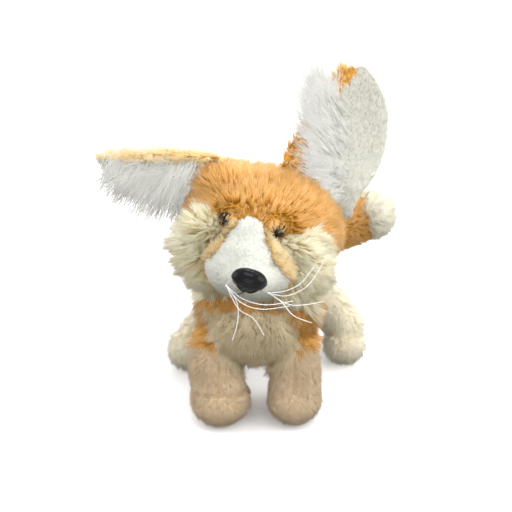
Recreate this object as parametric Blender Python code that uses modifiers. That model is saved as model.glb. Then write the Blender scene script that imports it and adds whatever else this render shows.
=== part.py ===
"""A stuffed plush fennec fox, standing on its four paws with one ear up and one drooping.

Metres, +Z up. The fox faces -Y and its left side is +X. The origin is on the floor,
under the middle of the bounding box. Every solid reaches out to the tips of the pile.
"""

import math
import random

import bmesh
import bpy
from mathutils import Matrix, Vector

MM = 0.001


def mm(x, y, z):
    """A point or a set of radii given in millimetres."""
    return Vector((x, y, z)) * MM


# Driving dimensions. Places are for the fox standing with x = 0 midway between its
# front legs, and everything moves by ORIGIN at the end.
ORIGIN = mm(-7.2, 6.4, 0.0)
GAP = 0.3 * MM
SLIVER = 0.005 * MM
COARSE = 7.2 * MM
MEDIUM = 5.6 * MM
FINE = 4.3 * MM
SMOOTHING = 6
LIGHTEN = 0.72

# Head, in its own frame: x to the fox's left, -y forward, z up.
HEAD_CENTRE = mm(-2.5, -14.0, 111.0)
HEAD_YAW, HEAD_PITCH, HEAD_ROLL = (math.radians(a) for a in (2.0, 2.0, 11.0))
SKULL = (mm(2, 0, 3), mm(52, 41, 37))
JAW = (mm(1, -6, -14), mm(44, 33, 23))
BROW = (mm(0, -22, 14), mm(30, 19, 17))
CROWN = (mm(-17, -2, 21), mm(29, 26, 19))
CHEEK = ((mm(30, -22.5, -9), mm(19.5, 18.5, 18)), (mm(20, -25, -22), mm(21, 17.5, 15)))
MUZZLE_BALL = (mm(-0.6, -43, -10), mm(25.2, 19, 18))
MUZZLE_BRIDGE = (mm(-4, -38, 5), mm(12.5, 14, 15))
MUZZLE_TIP = (mm(0.8, -52, -10.5), mm(17, 14, 13))

NOSE_CENTRE = mm(1.2, -65.0, -6.0)
NOSE_RADII = mm(9.3, 6.4, 6.7)
NOSE_TURN = math.radians(3.0)
NOSE_TAPER = 0.30
NOSTRIL_RADIUS = 1.5 * MM
NOSTRIL_SPREAD = 3.6 * MM

EYE_RADIUS = 4.6 * MM
EYE_RIGHT = mm(-16.9, -35.2, 12.6)
EYE_LEFT = mm(10.4, -35.6, 12.8)

# Body.
CHEST = (mm(0, -27, 65), mm(37, 23, 32))
BARREL = (mm(1, 12, 66), mm(36, 44, 34))
RUMP = (mm(3, 48, 62), mm(37, 31, 35))
SHOULDER = (mm(24, -30, 69), mm(17, 18, 26))
BIB = (mm(-2.5, -41, 55), mm(27, 15.5, 23))

# Legs: joints as (place, radius), then the paw's place and radii.
FRONT_RIGHT_LEG = ((mm(-24, -36, 50), 13 * MM), (mm(-26, -40, 34), 17.2 * MM), (mm(-23, -43, 16), 18.0 * MM))
FRONT_LEFT_LEG = ((mm(22, -33, 50), 13 * MM), (mm(22.5, -36, 34), 17.0 * MM), (mm(22.5, -37.5, 16), 17.2 * MM))
FRONT_RIGHT_PAW = (mm(-21.5, -46, 12.5), mm(19.6, 21, 15))
FRONT_LEFT_PAW = (mm(22.5, -40, 12.5), mm(18.0, 21, 15))
HIND_RIGHT_LEG = ((mm(-22, 42, 44), 20 * MM), (mm(-38, 32, 30), 16 * MM), (mm(-51, 19, 20), 14.5 * MM))
HIND_LEFT_LEG = ((mm(24, 50, 46), 20 * MM), (mm(42, 43, 36), 17 * MM), (mm(54, 36, 25), 15.5 * MM))
HIND_RIGHT_PAW = (mm(-52, 13, 14.5), mm(16, 18, 16))
HIND_LEFT_PAW = (mm(54, 32, 14.5), mm(16, 18, 16))
FRONT_ANKLE = mm(0, -40, 21)
HIND_ANKLE = mm(0, 24, 24)

# Tail: a fat curve that swings out to the fox's left.
TAIL = (
    (mm(6, 66, 72), 15 * MM),
    (mm(27, 80, 76), 17.5 * MM),
    (mm(49, 80, 83), 19.5 * MM),
    (mm(69, 76, 94.5), 20 * MM),
)
TAIL_BAND = mm(67, 76, 93)

# Ears: the middle line from base to tip, half widths along it, and how they face.
EAR_LEFT_LINE = (mm(34, -2, 115), mm(37.5, -1, 138), mm(45, 2, 158), mm(49.5, 5, 179), mm(49, 6, 201))
EAR_RIGHT_LINE = (mm(-25, -10, 141), mm(-46, -14, 142), mm(-63, -14, 142), mm(-81, -12, 144), mm(-99, -9, 149))
EAR_LEFT_FACING = Vector((0.1, -1.0, 0.1))
EAR_RIGHT_FACING = Vector((-0.1, -1.0, -0.35))
EAR_LEFT_WIDTHS = tuple(w * MM for w in (19, 23, 26.5, 22, 9))
EAR_RIGHT_WIDTHS = tuple(w * MM for w in (14, 16, 17, 14, 2))
EAR_THICKNESS = 8.5 * MM
EAR_CUP = 8.0 * MM

# Long white fur inside each ear: a core, and locks that spread from roots along it.
# A root line and the headings along it are read at even steps.
FLUFF_LEFT = (mm(35, -5, 160), mm(11, 7, 36), math.radians(3.0))
FLUFF_LEFT_ROOTS = (mm(36, -6, 128), mm(37, -7, 147), mm(38, -7, 166), mm(37, -6, 184))
FLUFF_LEFT_HEADINGS = (mm(-6, -5, -7), mm(-15, -4, 9), mm(-17, -2, 19), mm(-6, -2, 29))
FLUFF_RIGHT = (mm(-60, -18, 134), mm(27, 7, 12), math.radians(6.0))
FLUFF_RIGHT_ROOTS = (mm(-34, -19, 136), mm(-48, -20, 138), mm(-62, -20, 139), mm(-76, -18, 141))
FLUFF_RIGHT_HEADINGS = (mm(-4, -5, -17), mm(-8, -4, -22), mm(-14, -4, -17), mm(-20, -2, -6))
FLUFF_LOCKS = 34
FLUFF_WIDTH = 7.2 * MM

# Locks around the outer and lower edge of each cheek, in rows from the edge inwards:
# how many, how far out the roots are, how far forward they lean, and their length in mm.
CHEEK_LOCK_ROWS = ((13, 0.42, 0.15, 13.0), (9, 0.2, 0.75, 15.0))
CHEEK_LOCK_SWEEP = (math.radians(62), math.radians(-125))
CHEEK_LOCK_WIDTH = 8.5 * MM
CHEEK_LOCK_BEND = mm(0, 0, -3.0)

# A lock's width at shares of its length, and its thickness as a share of its width.
LOCK_PROFILE = ((0.0, 0.6), (0.35, 1.0), (0.7, 0.7))
LOCK_FLATNESS = 0.32
LOCK_MIN = 0.6 * MM

WHISKER_RADIUS = 0.3 * MM
WHISKER_TIP = 0.22 * MM
WHISKER_ROOT = 1.3 * MM
WHISKERS_RIGHT = (
    (mm(-9.4, -63.2, -12.3), mm(-2.5, -67, -18.7), mm(-0.3, -69, -28.2), mm(-1.1, -70, -39.1)),
    (mm(-9.4, -63.2, -12.3), mm(-1.4, -68, -21), mm(7.3, -69, -24.5), mm(14.3, -70, -32.2)),
    (mm(-9.4, -63.2, -12.3), mm(0.1, -69, -14.8), mm(11.8, -72, -14), mm(24.6, -70, -9.9)),
    (mm(-9.4, -63.2, -12.3), mm(-0.6, -68.5, -17.2), mm(10.1, -72.5, -16.6), mm(23.5, -70, -13)),
)
WHISKERS_LEFT = (
    (mm(12.2, -61.9, -12.1), mm(20.3, -66, -7.1), mm(26.6, -67, -0.8), mm(31.1, -66, 8.6)),
    (mm(12.2, -61.9, -12.1), mm(21.1, -67.5, -9), mm(30, -68.5, -0.8), mm(34.9, -66, 11.6)),
    (mm(12.2, -61.9, -12.1), mm(22.2, -67, -13.6), mm(30.1, -68, -11.9), mm(39.5, -67, -8.4)),
    (mm(12.2, -61.9, -12.1), mm(19.2, -68, -12.6), mm(26.7, -69, -18.3), mm(36.8, -67, -21.3)),
)

FABRICS = {
    "orange_plush": ((0.80, 0.43, 0.12, 1), 0.75),
    "cream_plush": ((0.80, 0.68, 0.46, 1), 0.75),
    "white_plush": ((0.86, 0.87, 0.82, 1), 0.75),
    "long_white_fur": ((0.88, 0.88, 0.86, 1), 0.6),
    "black_plastic": ((0.012, 0.012, 0.013, 1), 0.15),
    "brown_plastic": ((0.035, 0.016, 0.008, 1), 0.1),
    "whisker_nylon": ((0.85, 0.86, 0.85, 1), 0.35),
}

HEAD = (
    Matrix.Translation(HEAD_CENTRE)
    @ Matrix.Rotation(HEAD_YAW, 4, "Z")
    @ Matrix.Rotation(HEAD_PITCH, 4, "X")
    @ Matrix.Rotation(HEAD_ROLL, 4, "Y")
)
WORLD = Matrix.Identity(4)
UNCUT = {}


def clear_scene():
    for obj in list(bpy.data.objects):
        bpy.data.objects.remove(obj)


def collection(name):
    made = bpy.data.collections.new(name)
    bpy.context.scene.collection.children.link(made)
    return made


def new_object(name, mesh):
    obj = bpy.data.objects.new(name, mesh)
    FOX.objects.link(obj)
    return obj


def from_bmesh(name, bm):
    bmesh.ops.triangulate(bm, faces=bm.faces)
    bmesh.ops.recalc_face_normals(bm, faces=bm.faces)
    mesh = bpy.data.meshes.new(name)
    bm.to_mesh(mesh)
    bm.free()
    return new_object(name, mesh)


def freeze(obj):
    """Replaces the mesh by the evaluated one, so that the next step starts from it."""
    bpy.context.view_layer.update()
    graph = bpy.context.evaluated_depsgraph_get()
    mesh = bpy.data.meshes.new_from_object(obj.evaluated_get(graph))
    obj.modifiers.clear()
    obj.data = mesh
    return obj


def ball(place, radii, frame=WORLD, segments=20):
    """An ellipsoid in the given frame."""
    bm = bmesh.new()
    bmesh.ops.create_uvsphere(bm, u_segments=segments, v_segments=segments * 2 // 3, radius=1.0)
    bm.transform(frame @ Matrix.Translation(place) @ Matrix.Diagonal((*radii, 1.0)))
    return from_bmesh("ball", bm)


def along(line, t):
    """A point at share t of a chain of values, on a smooth curve through them."""
    spans = len(line) - 1
    i = min(int(t * spans), spans - 1)
    s = t * spans - i
    before, a, b = line[max(i - 1, 0)], line[i], line[i + 1]
    after = line[min(i + 2, spans)]
    return a + ((b - before) * s + (before * 2 - a * 5 + b * 4 - after) * s**2
                + ((a - b) * 3 + after - before) * s**3) / 2


def limb(joints, steps=5):
    """Balls set close along a chain of joints, for a leg or a tail."""
    places = [place for place, _ in joints]
    radii = [radius for _, radius in joints]
    count = (len(joints) - 1) * steps
    return [
        ball(along(places, i / count), Vector((1, 1, 1)) * along(radii, i / count))
        for i in range(count + 1)
    ]


def fuse(name, pieces, voxel=COARSE, smoothing=SMOOTHING):
    """One stuffed form from overlapping pieces, with its creases rounded out."""
    bm = bmesh.new()
    for piece in pieces:
        bm.from_mesh(piece.data)
        bpy.data.objects.remove(piece)
    obj = from_bmesh(name, bm)
    remesh = obj.modifiers.new("fuse", "REMESH")
    remesh.mode = "VOXEL"
    remesh.voxel_size = voxel
    smooth = obj.modifiers.new("round", "SMOOTH")
    smooth.factor = 0.5
    smooth.iterations = smoothing
    lighten = obj.modifiers.new("lighten", "DECIMATE")
    lighten.ratio = LIGHTEN
    obj.modifiers.new("triangles", "TRIANGULATE")
    freeze(obj)
    UNCUT[name] = obj.data.copy()
    return obj


def keep_largest(obj):
    """Drops every loose scrap and keeps the one surface with the most faces."""
    bm = bmesh.new()
    bm.from_mesh(obj.data)
    left, shells = set(bm.verts), []
    while left:
        stack, shell = [left.pop()], set()
        while stack:
            vert = stack.pop()
            shell.add(vert)
            for edge in vert.link_edges:
                other = edge.other_vert(vert)
                if other in left:
                    left.remove(other)
                    stack.append(other)
        shells.append(shell)
    largest = max(shells, key=len)
    bmesh.ops.delete(bm, geom=[v for v in bm.verts if v not in largest], context="VERTS")
    bmesh.ops.remove_doubles(bm, verts=bm.verts, dist=SLIVER)
    bmesh.ops.dissolve_degenerate(bm, edges=bm.edges, dist=SLIVER)
    bmesh.ops.triangulate(bm, faces=bm.faces)
    bm.to_mesh(obj.data)
    bm.free()
    return obj


def combine(obj, others, operation, solver="MANIFOLD"):
    """One Boolean on a collection of closed pieces, which are then removed."""
    group = collection("operands")
    for other in others:
        group.objects.link(other)
    boolean = obj.modifiers.new("combine", "BOOLEAN")
    boolean.operation = operation
    boolean.operand_type = "COLLECTION"
    boolean.collection = group
    boolean.solver = solver
    freeze(obj)
    for other in others:
        bpy.data.objects.remove(other)
    bpy.data.collections.remove(group)
    return keep_largest(obj)


def grown(obj):
    """A node's uncut form, larger by the gap that two sewn parts keep."""
    copy = new_object("grown", UNCUT.get(obj.name, obj.data).copy())
    displace = copy.modifiers.new("grow", "DISPLACE")
    displace.strength = GAP
    displace.mid_level = 0.0
    return freeze(copy)


def carve(obj, neighbours):
    """Cuts a node back to meet its neighbours face to face."""
    for neighbour in neighbours:
        combine(obj, [grown(neighbour)], "DIFFERENCE")
    return obj


def floor_box():
    bm = bmesh.new()
    bmesh.ops.create_cube(bm, size=1.0)
    bm.transform(Matrix.Translation((0, 0, -0.25)) @ Matrix.Diagonal((1, 1, 0.5, 1)))
    return from_bmesh("floor", bm)


def set_on_floor(obj):
    """A small flat under a paw, where the toy's weight rests."""
    return combine(obj, [floor_box()], "DIFFERENCE")


def sliced(mesh, name, point, normal):
    """The side of a mesh that lies against the normal, closed with a flat face."""
    bm = bmesh.new()
    bm.from_mesh(mesh)
    bmesh.ops.bisect_plane(
        bm, geom=[*bm.verts, *bm.edges, *bm.faces], plane_co=point, plane_no=normal, clear_outer=True
    )
    bmesh.ops.holes_fill(bm, edges=[e for e in bm.edges if e.is_boundary], sides=0)
    return from_bmesh(name, bm)


def part_in_two(obj, name, point, normal):
    """Cuts a node at a plane. The side that the normal points to becomes a new node."""
    normal = normal.normalized()
    rest = sliced(obj.data, "rest", point - normal * GAP / 2, normal)
    piece = sliced(obj.data, name, point + normal * GAP / 2, -normal)
    obj.data = rest.data
    bpy.data.objects.remove(rest)
    return piece


def mirrored(value):
    place, radii = value
    return Vector((-place.x, place.y, place.z)), radii


def build_head():
    return fuse("head", [ball(*lump, HEAD) for lump in (SKULL, JAW, BROW, CROWN)])


def lock(root, heading, width, facing, bend):
    """A flat lock that tapers from its root to a point, bowed along the bend."""
    bm = bmesh.new()
    across = heading.cross(facing).normalized()
    out = across.cross(heading).normalized()
    rings = []
    for share, wide in LOCK_PROFILE:
        middle = root + heading * share + bend * share * share
        half = across * max(width * wide, LOCK_MIN) / 2
        deep = out * max(width * wide * LOCK_FLATNESS, LOCK_MIN) / 2
        rings.append([bm.verts.new(middle + step) for step in (half, deep, -half, -deep)])
    tip = bm.verts.new(root + heading + bend)
    bm.faces.new(rings[0])
    for ring, after in zip(rings, rings[1:]):
        for i in range(4):
            j = (i + 1) % 4
            bm.faces.new((ring[i], ring[j], after[j], after[i]))
    for i in range(4):
        bm.faces.new((rings[-1][i], rings[-1][(i + 1) % 4], tip))
    return from_bmesh("lock", bm)


def cheek_locks(side, rng):
    """Rows of locks that lie outwards and down over a cheek."""
    (high, high_radii), (low, low_radii) = CHEEK
    turn = HEAD.to_3x3()
    made = []
    for count, depth, lean, length in CHEEK_LOCK_ROWS:
        for i in range(count):
            share = (i + 0.5 + rng.uniform(-0.25, 0.25)) / count
            angle = CHEEK_LOCK_SWEEP[0] + (CHEEK_LOCK_SWEEP[1] - CHEEK_LOCK_SWEEP[0]) * share
            centre = high.lerp(low, share)
            radii = high_radii.lerp(low_radii, share)
            root = centre.copy()
            root.x += math.cos(angle) * radii.x * depth
            root.y -= radii.y * 0.4
            root.z += math.sin(angle) * radii.z * depth
            heading = Vector((math.cos(angle), -lean, math.sin(angle) - 0.15))
            heading *= length * rng.uniform(0.9, 1.1) * MM
            facing = Vector((0.5 * math.cos(angle), -1.0, 0.5 * math.sin(angle)))
            for value in (root, heading, facing):
                value.x *= side
            width = CHEEK_LOCK_WIDTH * rng.uniform(0.85, 1.15)
            made.append(lock(HEAD @ root, turn @ heading, width, turn @ facing, CHEEK_LOCK_BEND))
    return made


def build_cheek(name, side):
    lumps = CHEEK if side > 0 else [mirrored(lump) for lump in CHEEK]
    cheek = fuse(name, [ball(*lump, HEAD) for lump in lumps], voxel=MEDIUM, smoothing=3)
    return combine(cheek, cheek_locks(side, random.Random(7)), "UNION", "EXACT")


def build_muzzle():
    pieces = [ball(*lump, HEAD) for lump in (MUZZLE_BALL, MUZZLE_BRIDGE, MUZZLE_TIP)]
    return fuse("muzzle", pieces, voxel=FINE)


def build_nose():
    """A moulded nose: wider above, with two nostrils at its lower edge."""
    bm = bmesh.new()
    bmesh.ops.create_uvsphere(bm, u_segments=16, v_segments=10, radius=1.0)
    for vert in bm.verts:
        vert.co.x *= 1.0 - NOSE_TAPER * max(0.0, -vert.co.z)
        vert.co.z -= 0.12 * (1.0 - abs(vert.co.x)) * max(0.0, vert.co.z)
    place = HEAD @ Matrix.Translation(NOSE_CENTRE) @ Matrix.Rotation(NOSE_TURN, 4, "Y")
    bm.transform(place @ Matrix.Diagonal((*NOSE_RADII, 1.0)))
    nose = from_bmesh("nose", bm)
    pits = [
        ball(mm(0, -4.6, -3.4) + Vector((side * NOSTRIL_SPREAD, 0, 0)),
             Vector((1, 1, 0.8)) * NOSTRIL_RADIUS, place, segments=9)
        for side in (-1, 1)
    ]
    return combine(nose, pits, "DIFFERENCE")


def build_eye(side, place):
    eye = ball(place, Vector((1, 1, 1)) * EYE_RADIUS, HEAD, segments=12)
    eye.name = "eye_" + side
    return eye


def build_ear(side, line, widths, facing, cup=EAR_CUP):
    """A cupped leaf: a lens-shaped section carried along the ear's middle line."""
    bm = bmesh.new()
    bmesh.ops.create_uvsphere(bm, u_segments=18, v_segments=16, radius=1.0)
    for vert in bm.verts:
        share = math.acos(max(-1.0, min(1.0, -vert.co.z))) / math.pi
        around = math.hypot(vert.co.x, vert.co.y) or 1.0
        across, through = vert.co.x / around, vert.co.y / around
        middle = along(line, share)
        up = (along(line, min(share + 0.05, 1.0)) - along(line, max(share - 0.05, 0.0))).normalized()
        sideways = facing.cross(up).normalized()
        front = up.cross(sideways).normalized()
        width = along(widths, share)
        round_off = min(1.0, 3.0 * math.sqrt(max(0.0, share * (1.0 - share))))
        thick = EAR_THICKNESS / 2 * round_off
        lean = cup * across**2 * width / max(widths)
        vert.co = (
            middle + sideways * across * width * min(1.0, 2.0 * round_off)
            - front * (through * thick * -1.0 + lean * -1.0)
        )
    return from_bmesh("ear_" + side, bm)


def build_fluff(name, core, roots, headings, seed):
    """The long fur that fills the inner half of an ear, spreading past its edge."""
    place, radii, lean = core
    turn = Matrix.Translation(place) @ Matrix.Rotation(lean, 4, "Y")
    fluff = fuse(name, [ball(Vector(), radii, turn)], voxel=MEDIUM, smoothing=2)
    rng = random.Random(seed)
    locks = []
    for i in range(FLUFF_LOCKS):
        share = (i + rng.uniform(0.2, 0.8)) / FLUFF_LOCKS
        wobble = mm(rng.uniform(-3, 3), rng.uniform(-2, 1), rng.uniform(-3, 3))
        heading = along(headings, share) * rng.uniform(0.8, 1.12) + wobble
        root = along(roots, share) + wobble * 0.8
        width = FLUFF_WIDTH * rng.uniform(0.8, 1.2)
        locks.append(lock(root, heading, width, Vector((0, -1, 0)), mm(0, 0, -1.5)))
    return combine(fluff, locks, "UNION", "EXACT")


def build_torso():
    lumps = (CHEST, BARREL, RUMP, SHOULDER, mirrored(SHOULDER))
    return fuse("torso", [ball(*lump) for lump in lumps])


def build_leg(where, joints, paw, ankle):
    """A leg and its paw, parted at the ankle, standing on a small flat."""
    leg = fuse("leg_" + where, [*limb(joints), ball(*paw)], voxel=MEDIUM, smoothing=4)
    set_on_floor(leg)
    foot = part_in_two(leg, "paw_" + where, ankle, Vector((0, -0.25, -1.0)))
    return leg, foot


def build_tail():
    tail = fuse("tail", limb(TAIL), voxel=COARSE, smoothing=3)
    tip = part_in_two(tail, "tail_tip", TAIL_BAND, Vector((1.0, -0.1, 0.35)))
    return tail, tip


def whisker(points):
    """A thin bristle through its points, drawn to a finer end."""
    curve = bpy.data.curves.new("whisker", "CURVE")
    curve.dimensions = "3D"
    curve.bevel_depth = WHISKER_RADIUS
    curve.bevel_resolution = 0
    curve.use_fill_caps = True
    spline = curve.splines.new("POLY")
    steps = 8
    spline.points.add(steps)
    for i, point in enumerate(spline.points):
        share = i / steps
        point.co = (*along(points, share), 1.0)
        point.radius = 1.0 - (1.0 - WHISKER_TIP / WHISKER_RADIUS) * share
    line = new_object("whisker", curve)
    bpy.context.view_layer.update()
    graph = bpy.context.evaluated_depsgraph_get()
    mesh = bpy.data.meshes.new_from_object(line.evaluated_get(graph))
    bpy.data.objects.remove(line)
    bm = bmesh.new()
    bm.from_mesh(mesh)
    bmesh.ops.remove_doubles(bm, verts=bm.verts, dist=0.02 * MM)
    bm.transform(HEAD)
    return from_bmesh("whisker", bm)


def build_whiskers(side, routes):
    """A bunch of bristles from one knot on the muzzle."""
    knot = ball(routes[0][0], Vector((1, 1, 1)) * WHISKER_ROOT, HEAD, segments=9)
    knot.name = "whiskers_" + side
    return combine(knot, [whisker(route) for route in routes], "UNION")


def fabric(slot):
    colour, roughness = FABRICS[slot]
    material = bpy.data.materials.get(slot) or bpy.data.materials.new(slot)
    material.use_nodes = True
    shader = material.node_tree.nodes["Principled BSDF"]
    shader.inputs["Base Color"].default_value = colour
    shader.inputs["Roughness"].default_value = roughness
    return material


def finish(parts):
    """Gives each node its fabric and moves the fox over the origin."""
    for obj, slot in parts:
        obj.data.transform(Matrix.Translation(-ORIGIN))
        obj.data.materials.clear()
        obj.data.materials.append(fabric(slot))
        obj.data.shade_smooth()


def main():
    head = build_head()
    muzzle = carve(build_muzzle(), [head])
    nose = carve(build_nose(), [muzzle])
    eye_right, eye_left = build_eye("right", EYE_RIGHT), build_eye("left", EYE_LEFT)
    torso = carve(build_torso(), [head, muzzle])
    legs = []
    for where, joints, paw, ankle in (
        ("front_left", FRONT_LEFT_LEG, FRONT_LEFT_PAW, FRONT_ANKLE),
        ("front_right", FRONT_RIGHT_LEG, FRONT_RIGHT_PAW, FRONT_ANKLE),
        ("hind_left", HIND_LEFT_LEG, HIND_LEFT_PAW, HIND_ANKLE),
        ("hind_right", HIND_RIGHT_LEG, HIND_RIGHT_PAW, HIND_ANKLE),
    ):
        leg, foot = build_leg(where, joints, paw, ankle)
        carve(leg, [torso])
        legs += [leg, foot]
    bib = fuse("chest_bib", [ball(*BIB)], voxel=MEDIUM)
    carve(bib, [torso, head, muzzle, legs[0], legs[2]])
    cheek_left = carve(build_cheek("cheek_left", 1), [head, muzzle, torso, bib])
    cheek_right = carve(build_cheek("cheek_right", -1), [head, muzzle, torso, bib, cheek_left])
    for socket in (head, muzzle, cheek_left, cheek_right):
        carve(socket, [eye_left, eye_right])
    ear_left = build_ear("left", EAR_LEFT_LINE, EAR_LEFT_WIDTHS, EAR_LEFT_FACING)
    ear_right = build_ear("right", EAR_RIGHT_LINE, EAR_RIGHT_WIDTHS, EAR_RIGHT_FACING)
    carve(ear_left, [head, cheek_left])
    carve(ear_right, [head, cheek_right])
    fluff_left = build_fluff("ear_fluff_left", FLUFF_LEFT, FLUFF_LEFT_ROOTS, FLUFF_LEFT_HEADINGS, 11)
    fluff_right = build_fluff("ear_fluff_right", FLUFF_RIGHT, FLUFF_RIGHT_ROOTS, FLUFF_RIGHT_HEADINGS, 5)
    carve(fluff_left, [ear_left, head, cheek_left])
    carve(fluff_right, [ear_right, head, cheek_right])
    tail, tip = build_tail()
    carve(tail, [torso])
    whiskers = [
        carve(build_whiskers("right", WHISKERS_RIGHT), [muzzle]),
        carve(build_whiskers("left", WHISKERS_LEFT), [muzzle]),
    ]
    finish(
        [(obj, "orange_plush") for obj in (head, torso, tail)]
        + [(obj, "cream_plush") for obj in (cheek_left, cheek_right, bib, tip, *legs)]
        + [(obj, "white_plush") for obj in (muzzle, ear_left, ear_right)]
        + [(obj, "long_white_fur") for obj in (fluff_left, fluff_right)]
        + [(nose, "black_plastic"), (eye_left, "brown_plastic"), (eye_right, "brown_plastic")]
        + [(obj, "whisker_nylon") for obj in whiskers]
    )


clear_scene()
FOX = collection("plush_fennec_fox")
main()
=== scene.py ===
"""A plush fennec fox: one sewn skin with its shag, ears, nose, eyes and whiskers.

Metres, +Z up, the fox faces -Y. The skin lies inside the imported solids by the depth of
the pile, and the tufts of the coat reach out to them again.
"""

import math

import bmesh
import bpy
import numpy as np
from bpy.props import FloatProperty, FloatVectorProperty, PointerProperty
from mathutils import Matrix, Vector
from mathutils.bvhtree import BVHTree
from mathutils.kdtree import KDTree


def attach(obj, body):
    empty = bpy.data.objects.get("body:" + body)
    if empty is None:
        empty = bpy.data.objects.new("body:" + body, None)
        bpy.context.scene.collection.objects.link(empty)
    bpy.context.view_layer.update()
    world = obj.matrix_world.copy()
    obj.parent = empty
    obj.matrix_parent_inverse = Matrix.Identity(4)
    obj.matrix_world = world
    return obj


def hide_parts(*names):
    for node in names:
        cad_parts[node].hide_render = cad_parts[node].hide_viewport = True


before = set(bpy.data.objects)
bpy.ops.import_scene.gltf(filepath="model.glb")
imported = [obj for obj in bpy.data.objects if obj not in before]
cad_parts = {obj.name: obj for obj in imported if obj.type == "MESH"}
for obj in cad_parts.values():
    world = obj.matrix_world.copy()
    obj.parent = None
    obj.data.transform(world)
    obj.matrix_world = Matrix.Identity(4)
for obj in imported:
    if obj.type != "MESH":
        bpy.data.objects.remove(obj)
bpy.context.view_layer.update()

bl_info = {
    "name": "Plush fennec fox",
    "version": (1, 0, 0),
    "blender": (4, 5, 0),
    "location": "3D View > Sidebar > Fox",
    "description": "Dresses the packed solids of a plush fennec fox in skin, shag and trims",
    "category": "Object",
}

MM = 0.001


def mm(x, y, z):
    """A point or a set of radii given in millimetres."""
    return Vector((x, y, z)) * MM


# The forms below stand where the source has them before its last move to the origin.
SHIFT = Matrix.Translation(mm(7.2, -6.4, 0.0))
HEAD = (
    SHIFT
    @ Matrix.Translation(mm(-2.5, -14.0, 111.0))
    @ Matrix.Rotation(math.radians(2.0), 4, "Z")
    @ Matrix.Rotation(math.radians(2.0), 4, "X")
    @ Matrix.Rotation(math.radians(11.0), 4, "Y")
)

# Stuffed forms: frame, place, radii, and how deep the skin lies inside the pile.
HEAD_FORMS = (
    ((2, 0, 3), (52, 41, 37), 8.0),
    ((1, -6, -14), (44, 33, 23), 9.0),
    ((0, -22, 14), (30, 19, 17), 5.5),
    ((0, -15, 14), (36, 24, 22), 8.0),
    ((-17, -2, 21), (29, 26, 19), 8.0),
    ((30, -22.5, -9), (19.5, 18.5, 18), 8.5),
    ((20, -25, -22), (21, 17.5, 15), 8.5),
    ((26, -23.5, -15), (20.5, 18.5, 17), 8.5),
    ((23, -25, 1), (17, 14, 14), 6.0),
    ((-26, -25, 2), (17, 14, 14), 6.0),
    ((-26, -23.5, -15), (20.5, 18.5, 17), 8.5),
    ((-30, -22.5, -9), (19.5, 18.5, 18), 8.5),
    ((-20, -25, -22), (21, 17.5, 15), 8.5),
    ((-0.6, -43, -10), (25.2, 19, 18), 2.5),
    ((-4, -38, 5), (12.5, 14, 15), 2.5),
    ((0.8, -52, -10.5), (17, 14, 13), 2.5),
    ((-1.5, -44, -2), (18, 15, 14), 2.5),
)
BODY_FORMS = (
    ((0, -27, 65), (37, 23, 32), 7.0),
    ((1, 12, 66), (36, 44, 34), 7.5),
    ((3, 48, 62), (37, 31, 35), 7.5),
    ((24, -30, 69), (17, 18, 26), 6.5),
    ((-24, -30, 69), (17, 18, 26), 6.5),
    ((-2.5, -41, 55), (27, 15.5, 23), 6.5),
    ((-21.5, -46, 12.5), (19.6, 21, 15), 3.2),
    ((22.5, -40, 12.5), (18.0, 21, 15), 3.2),
    ((-23, -46, 20), (18.6, 16.5, 15), 3.4),
    ((22.5, -40, 20), (17.6, 16.5, 15), 3.4),
    ((-52, 13, 14.5), (16, 18, 16), 4.4),
    ((54, 32, 14.5), (16, 18, 16), 4.4),
)
TAIL_LINE = (mm(6, 66, 72), mm(27, 80, 76), mm(49, 80, 83), mm(69, 76, 94.5))
# Limbs: joints as (place, radius), and the depth of the pile.
LIMBS = (
    (((-24, -36, 50, 13), (-26, -40, 34, 17.2), (-23, -43, 16, 18.0)), 3.6),
    (((22, -33, 50, 13), (22.5, -36, 34, 17.0), (22.5, -37.5, 16, 17.2)), 3.6),
    (((-22, 42, 44, 20), (-38, 32, 30, 16), (-51, 19, 20, 14.5)), 5.2),
    (((24, 50, 46, 20), (42, 43, 36, 17), (54, 36, 25, 15.5)), 5.2),
    (((6, 66, 72, 15), (27, 80, 76, 17.5), (49, 80, 83, 19.5), (69, 76, 94.5, 20)), 6.0),
)
SKIN_VOXEL = 1.7 * MM
SKIN_ROUNDING = 14
SOLE = 1.2 * MM
# Tufts: how deep they are rooted in the cloth, how wide each ring of one is, how flat it is,
# how low it may hang, and how far its corners lie apart on the unwrap.
ROOT_DEPTH = 0.6 * MM
RING_WIDTHS = (1.0, 0.86, 0.6)
TUFT_FLATNESS = 0.6
LOWEST_TUFT = 0.15 * MM
BAKE_SPREAD = 0.0015
# How far tufts bow, and lean along their run.
TUFT_BOW = 0.28
TUFT_LEAN = 0.25

# Where the fabrics meet, in the head's frame in millimetres: the top edge of a cheek by
# its distance out from the middle, how far back it goes by its height, and the strip
# beside the muzzle.
CHEEK_TOP = ((13.0, 17.0, 27.0, 36.0, 44.0, 50.0), (7.0, 9.5, 11.0, 8.0, 0.0, -8.0))
CHEEK_BACK = ((-24.0, -14.0, -4.0), (-4.0, -12.0, -21.0))
STRIP_WIDTH = 5.2
# Where the cheeks start beside the middle, and the height under which all is pale.
CHEEK_START = 12.0
CHIN_TOP = -14.0
# How low, how high and how far back the strips reach.
STRIP_HEIGHTS = (-20.0, 12.0)
STRIP_BACK = -18.0
LASH_REACH = 0.0095
# Strands over an eye's rim: how many, how far from the eye's middle their roots are, and
# which way round the eye they are thickest.
BROW_COUNT = 6800
BROW_RING = (0.0046, 0.0078)
BROW_HEADINGS = {"right": ((0.9, 0.0, 0.7), (-1.0, 0.0, -0.5)), "left": ((-0.25, 0.0, 1.0),)}

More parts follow.
